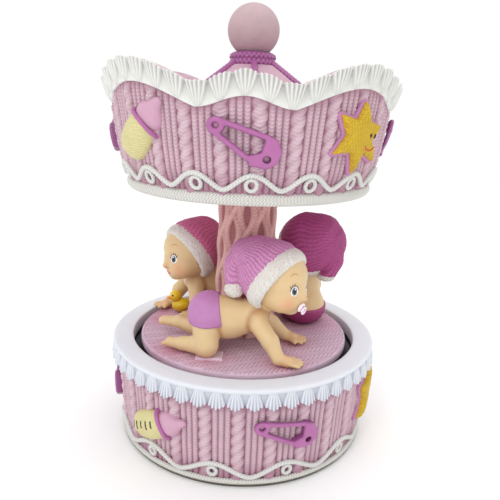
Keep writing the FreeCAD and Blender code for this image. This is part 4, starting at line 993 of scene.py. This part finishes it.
def woolly_hat(name, mat, C, in_head, size, crown, tail, bobble, band, low, top, place, place_head):
    """Knitted hat with a hanging tail, a fur band round the face and a bobble on the tail's end."""
    rim, girth = band

    def hat_field(p):
        q = in_head(p) / size
        dome = smax(egg(q, HAT_AXIS * 4.4, (11.9, 12.3, 12.3)), rim - 0.6 - q @ HAT_AXIS, 0.8) * size
        links = [cap(p, u[:3], v[:3], u[3], v[3]) for u, v in zip(crown, crown[1:])]
        return smin(melt([dome] + links, 4.0), chain(p, tail, 1.2), 0.9)

    flow = np.array(crown[-1][:3]) - C
    flow = flow / np.linalg.norm(flow)
    across = np.cross(flow, [0.3, 0.9, 0.2])
    across /= np.linalg.norm(across)
    other = np.cross(flow, across)

    def wales(p, n):
        q = p - C
        x, y, h = q @ across, q @ other, q @ flow
        turn = WALES * np.arctan2(x, y)
        rib = 0.5 + 0.5 * np.cos(turn + 1.6 * np.sin(2 * math.pi * h / 9.0))
        stitch = 0.5 + 0.5 * np.sin(2 * math.pi * h / 1.1 + 2.4 * np.cos(turn))
        return 0.24 * rib * np.clip(np.hypot(x, y) / 5, 0.25, 1) + 0.12 * stitch + bumps3(p, 1.5, 0.06)

    balls = np.array(crown + tail)
    near = (balls[:, :2] - balls[:, 3:]).min(0) - 2
    corners = [(low[0], low[1] - 2, 14), (C[0] - 18, C[1] - 18, 14), (near[0], near[1], 14)]
    far = [(C[0] + 14, C[1] + 16, top), (balls[:, 0].max() + 6, (balls[:, 1] + balls[:, 3]).max() + 2, top)]
    solid(f"{name}_hat", hat_field, np.min(corners, axis=0), np.max(far, axis=0), 0.4, mat, "carousel", place,
          LILAC, dress=wales)

    def band_field(q):
        q = q / size
        along = q @ HAT_AXIS
        h = (along - rim) * 0.9
        rho = np.linalg.norm(q - along[..., None] * HAT_AXIS, axis=-1) - girth + 0.035 * h
        return (np.sqrt((rho / 1.75) ** 2 + (h / 3.0) ** 2) - 1) * 1.75 * size

    reach = 15.5 * size * np.ones(3)
    solid(f"{name}_band", band_field, -reach, reach, 0.38, "fur", "carousel", place_head, LILAC,
          dress=lambda p, n: bumps3(p, 1.15, 0.17))
    centre, (radius, height) = np.array(bobble[:3]), bobble[3:]
    solid(f"{name}_bobble", lambda p: egg(p, centre, (radius, radius, height)), centre - radius - 1,
          centre + radius + 1, 0.28, "fur", "carousel", place, LILAC, dress=lambda p, n: bumps3(p, 1.3, 0.2))


def figure(name, body, at, facing, centre, yaw, pitch, size, hat, nappy, cut, extent, blush, soother=False):
    """One child on the platform: skin, nappy, hat and painted face. cut is the nappy's outline as a field."""
    stand, tilt = axes(facing), axes(yaw, pitch)
    C = np.array(centre, float)
    origin = np.array([*at, DECK])
    low, high = extent

    def place(p):
        return p @ stand.T + origin

    def place_head(p):
        return place(p @ tilt.T + C)

    def in_head(p):
        return (p - C) @ tilt

    def skin_field(p):
        neck = cap(p, C + tilt @ np.array([-2, 0, -7.0]) * size, C * [0.45, 0.3, 0] + [0, 0, 15.5], 4.4, 5.0)
        whole = smin(melt([melt(body(p), 2.0), neck], 2.2), face(in_head(p), size), 1.2)
        return smax(whole, -p[..., 2], 0.3)

    def skin_shade(p, n):
        # darker in the folds between parts, partly the figure's own airbrushed tone and partly painted shade;
        # painted shade near the platform and on faces turned downward
        nearest = np.sort(np.stack(body(p) + [face(in_head(p), size)]), axis=0)
        fold = np.clip(1 - (nearest[1] - nearest[0]) / 1.6, 0, 1)
        floor = np.clip(1 - (p[:, 2] - 0.2) / 1.6, 0, 1)
        return 1 - 0.75 * np.maximum(fold, 0.6 * floor) - 0.2 * np.clip(-n[:, 2], 0, 1)

    def rosy(p, n):
        q = in_head(p) / size
        warm = [0.62 * np.exp(-((q - [8.6, w * 6.0, -3.9]) ** 2).sum(1) / 6.5) for w in (1, -1)]
        warm.append(0.35 * np.exp(-((q - [12.6, 0, -2.6]) ** 2).sum(1) / 1.6))
        warm += [0.45 * np.exp(-((p - spot) ** 2).sum(1) / 7.0) for spot in blush]
        return np.max(warm, axis=0)

    def weave(p, n):
        f = 2 * math.pi / 1.1
        return 0.03 * np.sin(f * (p[:, 0] + p[:, 2])) * np.sin(f * (p[:, 1] - p[:, 2]))

    skin = solid(f"{name}_skin", skin_field, low, high, 0.42, "skin", "carousel", place, PINK_SKIN,
                 relief=skin_shade, tint=rosy)
    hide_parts(name)
    # nappy relief: painted light and shade, lighter on top, darker on faces turned downward
    solid(f"{name}_nappy", lambda p: smax(melt(body(p), 2.0) - 0.75, cut(p), 0.5), low, high, 0.42, nappy,
          "carousel", place, LILAC, dress=weave, relief=lambda p, n: 0.75 + 0.5 * n[:, 2])
    woolly_hat(name, C=C, in_head=in_head, size=size, low=low, place=place, place_head=place_head, **hat)
    painted_face(name, size, place_head, soother)


def crawl_cut(p):
    return np.maximum(p[..., 0] + 5.6 + 0.16 * (p[..., 2] - 15), 12.6 - p[..., 2])


def sit_cut(p):
    return np.maximum(p[..., 2] - 9.0 - 0.1 * p[..., 0], p[..., 0] - 3.5)


FRONT_ARMS = [
    ((12.8, -9.6, 8.2), (15.8, -12.9, 3.0), (1, -0.1)),
    ((14.0, 9.0, 8.0), (19.4, 10.2, 2.9), (1, -0.35)),
]
FRONT_LEGS = [
    ((-11.0, -7.2, 4.9), (-20.6, -2.6, 3.2), (-25.4, -0.6, 2.8)),
    ((-11.4, 7.4, 4.8), (-23.4, 10.8, 6.6), (-29.6, 12.2, 6.4)),
]
LEFT_ARMS = [
    ((12.0, -8.2, 8.0), (15.0, -7.4, 2.9), (1, 0.1)),
    ((8.4, 9.4, 8.4), (6.6, 10.2, 3.0), (1, -0.2)),
]
LEFT_LEGS = [
    ((-11.6, -7.4, 4.7), (-23.0, -5.0, 3.2), (-28.0, -3.2, 2.7)),
    ((-11.6, 7.4, 4.7), (-23.0, 5.0, 3.2), (-28.0, 3.2, 2.7)),
]
LEFT_AT, LEFT_FACING = (-16.4, 20.2), 200
figure(
    "figure_front",
    body=lambda p: crawler(p, FRONT_ARMS, FRONT_LEGS),
    at=(-2.8, -23.2), facing=0, centre=(15.1, -1.4, 29.6), yaw=-33, pitch=-13, size=1.0,
    hat={
        "mat": "hat_a",
        "crown": [(12.2, 1.0, 32.4, 11.0), (5.6, 3.4, 37.0, 6.8), (2.2, 3.6, 38.2, 4.8)],
        "tail": [(1.8, 3.4, 38.2, 4.6), (-0.6, 2.0, 34.0, 4.2), (-1.4, 0.2, 28.8, 3.3)],
        "bobble": (-1.2, -0.8, 25.4, 3.6, 3.3),
        "band": (0.9, 11.8),
        "top": 47.5,
    },
    nappy="nappy_a", cut=crawl_cut, extent=((-34, -19, 0), (31, 20, 45)),
    blush=((19, -13.4, 1.5), (24, 9, 1.5), (-11.6, -7.4, 1.2), (-29, 0, 2.5), (-31, 13.6, 4.5)),
    soother=True,
)
figure(
    "figure_left",
    body=lambda p: crawler(p, LEFT_ARMS, LEFT_LEGS),
    at=LEFT_AT, facing=LEFT_FACING, centre=(10.8, 3.4, 29.0), yaw=14, pitch=-12, size=0.98,
    hat={
        "mat": "hat_b",
        "crown": [(7.8, 3.0, 32.6, 10.4), (2.4, 1.0, 36.0, 6.4), (-0.6, -1.6, 36.0, 4.4)],
        "tail": [(-0.8, -1.8, 36.0, 4.3), (-3.2, -3.4, 31.0, 3.8), (-3.6, -3.8, 27.0, 3.0)],
        "bobble": (-3.8, -4.0, 24.6, 3.3, 3.0),
        "band": (1.0, 11.8),
        "top": 47,
    },
    nappy="nappy_a", cut=crawl_cut, extent=((-33, -15, 0), (28, 18, 44)),
    blush=((20, -7, 1.5), (11, 9.4, 1.5), (-11.6, -7.4, 1.2), (-11.6, 7.4, 1.2)),
)
figure(
    "figure_right",
    body=sitter,
    at=(26.0, 12.0), facing=96, centre=(-0.6, -0.6, 34.0), yaw=0, pitch=-6, size=1.0,
    hat={
        "mat": "hat_c",
        "crown": [(-4.0, -1.2, 37.2, 11.4), (-6.6, -5.0, 38.6, 8.8), (-7.4, -7.4, 37.0, 7.0)],
        "tail": [(-7.8, -8.4, 36.0, 6.0), (-8.6, -8.8, 30.0, 5.2), (-9.0, -8.0, 26.0, 4.2)],
        "bobble": (-9.0, -7.4, 22.9, 3.8, 2.0),
        "band": (3.2, 11.7),
        "top": 50.5,
    },
    nappy="nappy_c", cut=sit_cut, extent=((-12, -14, 0), (23, 14, 47)),
    blush=((18, 4, 5), (18, -4, 5), (11, 5, 11), (11, -5, 11)),
)


# ---- Toy duck, in the left figure's own frame ----------------------------------------
DUCK_Y = 0.4
DUCK_SLOT = "yellow_resin"


def duck_place(p):
    return p @ axes(LEFT_FACING).T + np.array([*LEFT_AT, DECK])


def duck_body(p):
    trunk = egg(p, (13.0, DUCK_Y, 3.4), (4.4, 3.4, 3.2))
    rump = cap(p, (10.0, DUCK_Y, 3.8), (8.6, DUCK_Y, 5.8), 1.6, 0.6)
    head = egg(p, (15.8, DUCK_Y, 7.8), (2.7, 2.6, 2.6))
    wings = [egg(p, (12.6, DUCK_Y + w * 3.0, 3.9), (2.5, 0.8, 1.6)) for w in (1, -1)]
    return smax(melt([trunk, rump, head] + wings, 0.7), -p[..., 2], 0.2)


# relief: painted light and shade, the duck lighter on top and darker underneath
duck = solid("duck_body", duck_body, (6.5, -4.5, -0.5), (20, 5, 11.5), 0.25, "duck", "carousel", duck_place,
             DUCK_SLOT, relief=lambda p, n: 0.6 + 0.5 * n[:, 2])
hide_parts("toy_duck")
solid("duck_beak", lambda p: egg(p, (18.5, DUCK_Y, 7.3), (1.5, 1.3, 0.6)), (16.6, -1.6, 6), (20.6, 2.4, 8.6),
      0.14, "beak", "carousel", duck_place, DUCK_SLOT)
for w, tag in ((1, "l"), (-1, "r")):
    centre = np.array([17.5, DUCK_Y + w * 1.75, 8.7])
    solid(f"duck_eye_{tag}", lambda p: egg(p, centre, (0.42,) * 3), centre - (1, 1, 0.9),
          centre + (1.1, 1, 1), 0.1, "pupil", "carousel", duck_place, DUCK_SLOT)


# ---- Carried-over parts --------------------------------------------------------------
FINISH = {
    "felt": ["felt_ring"],
    "board": ["bottom_plate"],
    "screw": ["plate_screws", "movement_screws", "housing_screws", "comb_screws", "governor_screw",
              "hub_screws"],
    "zinc": ["bedplate", "crown_wheel", "winding_key", "drive_spider"],
    "nickel": ["spring_housing", "ratchet_wheel"],
    "steel": ["mainspring", "comb", "cylinder_arbor", "governor_worm", "click_pawl", "winding_arbor"],
    "brass": ["governor_frame", "cylinder_pinion", "tune_cylinder", "train_wheel", "governor_wheel",
              "turntable_hub"],
    "black": ["governor_fan"],
}
for finish, nodes in FINISH.items():
    for node in nodes:
        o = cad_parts[node]
        if not o.material_slots:
            o.data.materials.append(None)
        for s in o.material_slots:
            s.link = "OBJECT"
            s.material = M[finish]
ceiling_face = straight((11.4, CANOPY_FOOT - 0.1), (43.0, CANOPY_FOOT - 0.1), 70)
ceiling_outline = [(11.0, CANOPY_FOOT), *ceiling_face, (43.5, CANOPY_FOOT + 0.4)]
# relief: painted shade between the stitches
ceiling = lathe("canopy_underside", ceiling_outline, "lilac", "carousel", 720,
                relief=lambda A, S: 0.4 + small_knit(A, S, 2.5, 1.4, 0.5))
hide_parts("canopy_ceiling")


# ---- Camera, light and floor ---------------------------------------------------------
def stage():
    """Pale floor, white surroundings and two soft lamps; metres."""
    me = bpy.data.meshes.new("floor")
    size = 4.0
    corners = [(-size, -size, 0), (size, -size, 0), (size, size, 0), (-size, size, 0)]
    me.from_pydata(corners, [], [(0, 1, 2, 3)])
    m = paint("floor_pale", (255, 255, 255), (253, 253, 253), rough=0.9, mottle=0.004, scale=3, bump=0.0)
    me.materials.append(m)
    me.attributes.new("relief", "FLOAT", "POINT").data.foreach_set("value", np.ones(4, np.float32))
    floor = bpy.data.objects.new("floor", me)
    bpy.context.scene.collection.objects.link(floor)
    world = bpy.data.worlds.new("studio")
    bpy.context.scene.world = world
    world.use_nodes = True
    sky = world.node_tree.nodes["Background"]
    sky.inputs["Color"].default_value = (1, 1, 1, 1)
    sky.inputs["Strength"].default_value = 1.0
    bpy.context.scene.view_settings.view_transform = "Standard"
    for name, at, size, power in (("key", (-0.25, -0.5, 0.62), 0.3, 1.0), ("top", (0.1, 0.1, 0.8), 0.4, 0.8)):
        lamp = bpy.data.lights.new(name, "AREA")
        lamp.size = size
        lamp.energy = power
        o = bpy.data.objects.new(name, lamp)
        o.location = at
        o.rotation_euler = (Vector((0, 0, 0.08)) - Vector(at)).to_track_quat("-Z", "Y").to_euler()
        bpy.context.scene.collection.objects.link(o)


def camera():
    """Camera straight in front, a little above the platform; metres and radians."""
    away, height = 0.2214, 0.1339
    pitch, roll, yaw = 0.259, 0.036, 0.007
    cam = bpy.data.cameras.new("camera")
    cam.sensor_width = 36
    cam.lens = 39.816
    cam.clip_start = 0.01
    forward = Vector((math.sin(yaw) * math.cos(pitch), math.cos(yaw) * math.cos(pitch), -math.sin(pitch)))
    o = bpy.data.objects.new("camera", cam)
    o.location = (0, -away, height)
    turn = forward.to_track_quat("-Z", "Y").to_matrix().to_4x4()
    o.matrix_world = Matrix.Translation(o.location) @ turn @ Matrix.Rotation(roll, 4, "Z")
    bpy.context.scene.collection.objects.link(o)
    bpy.context.scene.camera = o


stage()
camera()
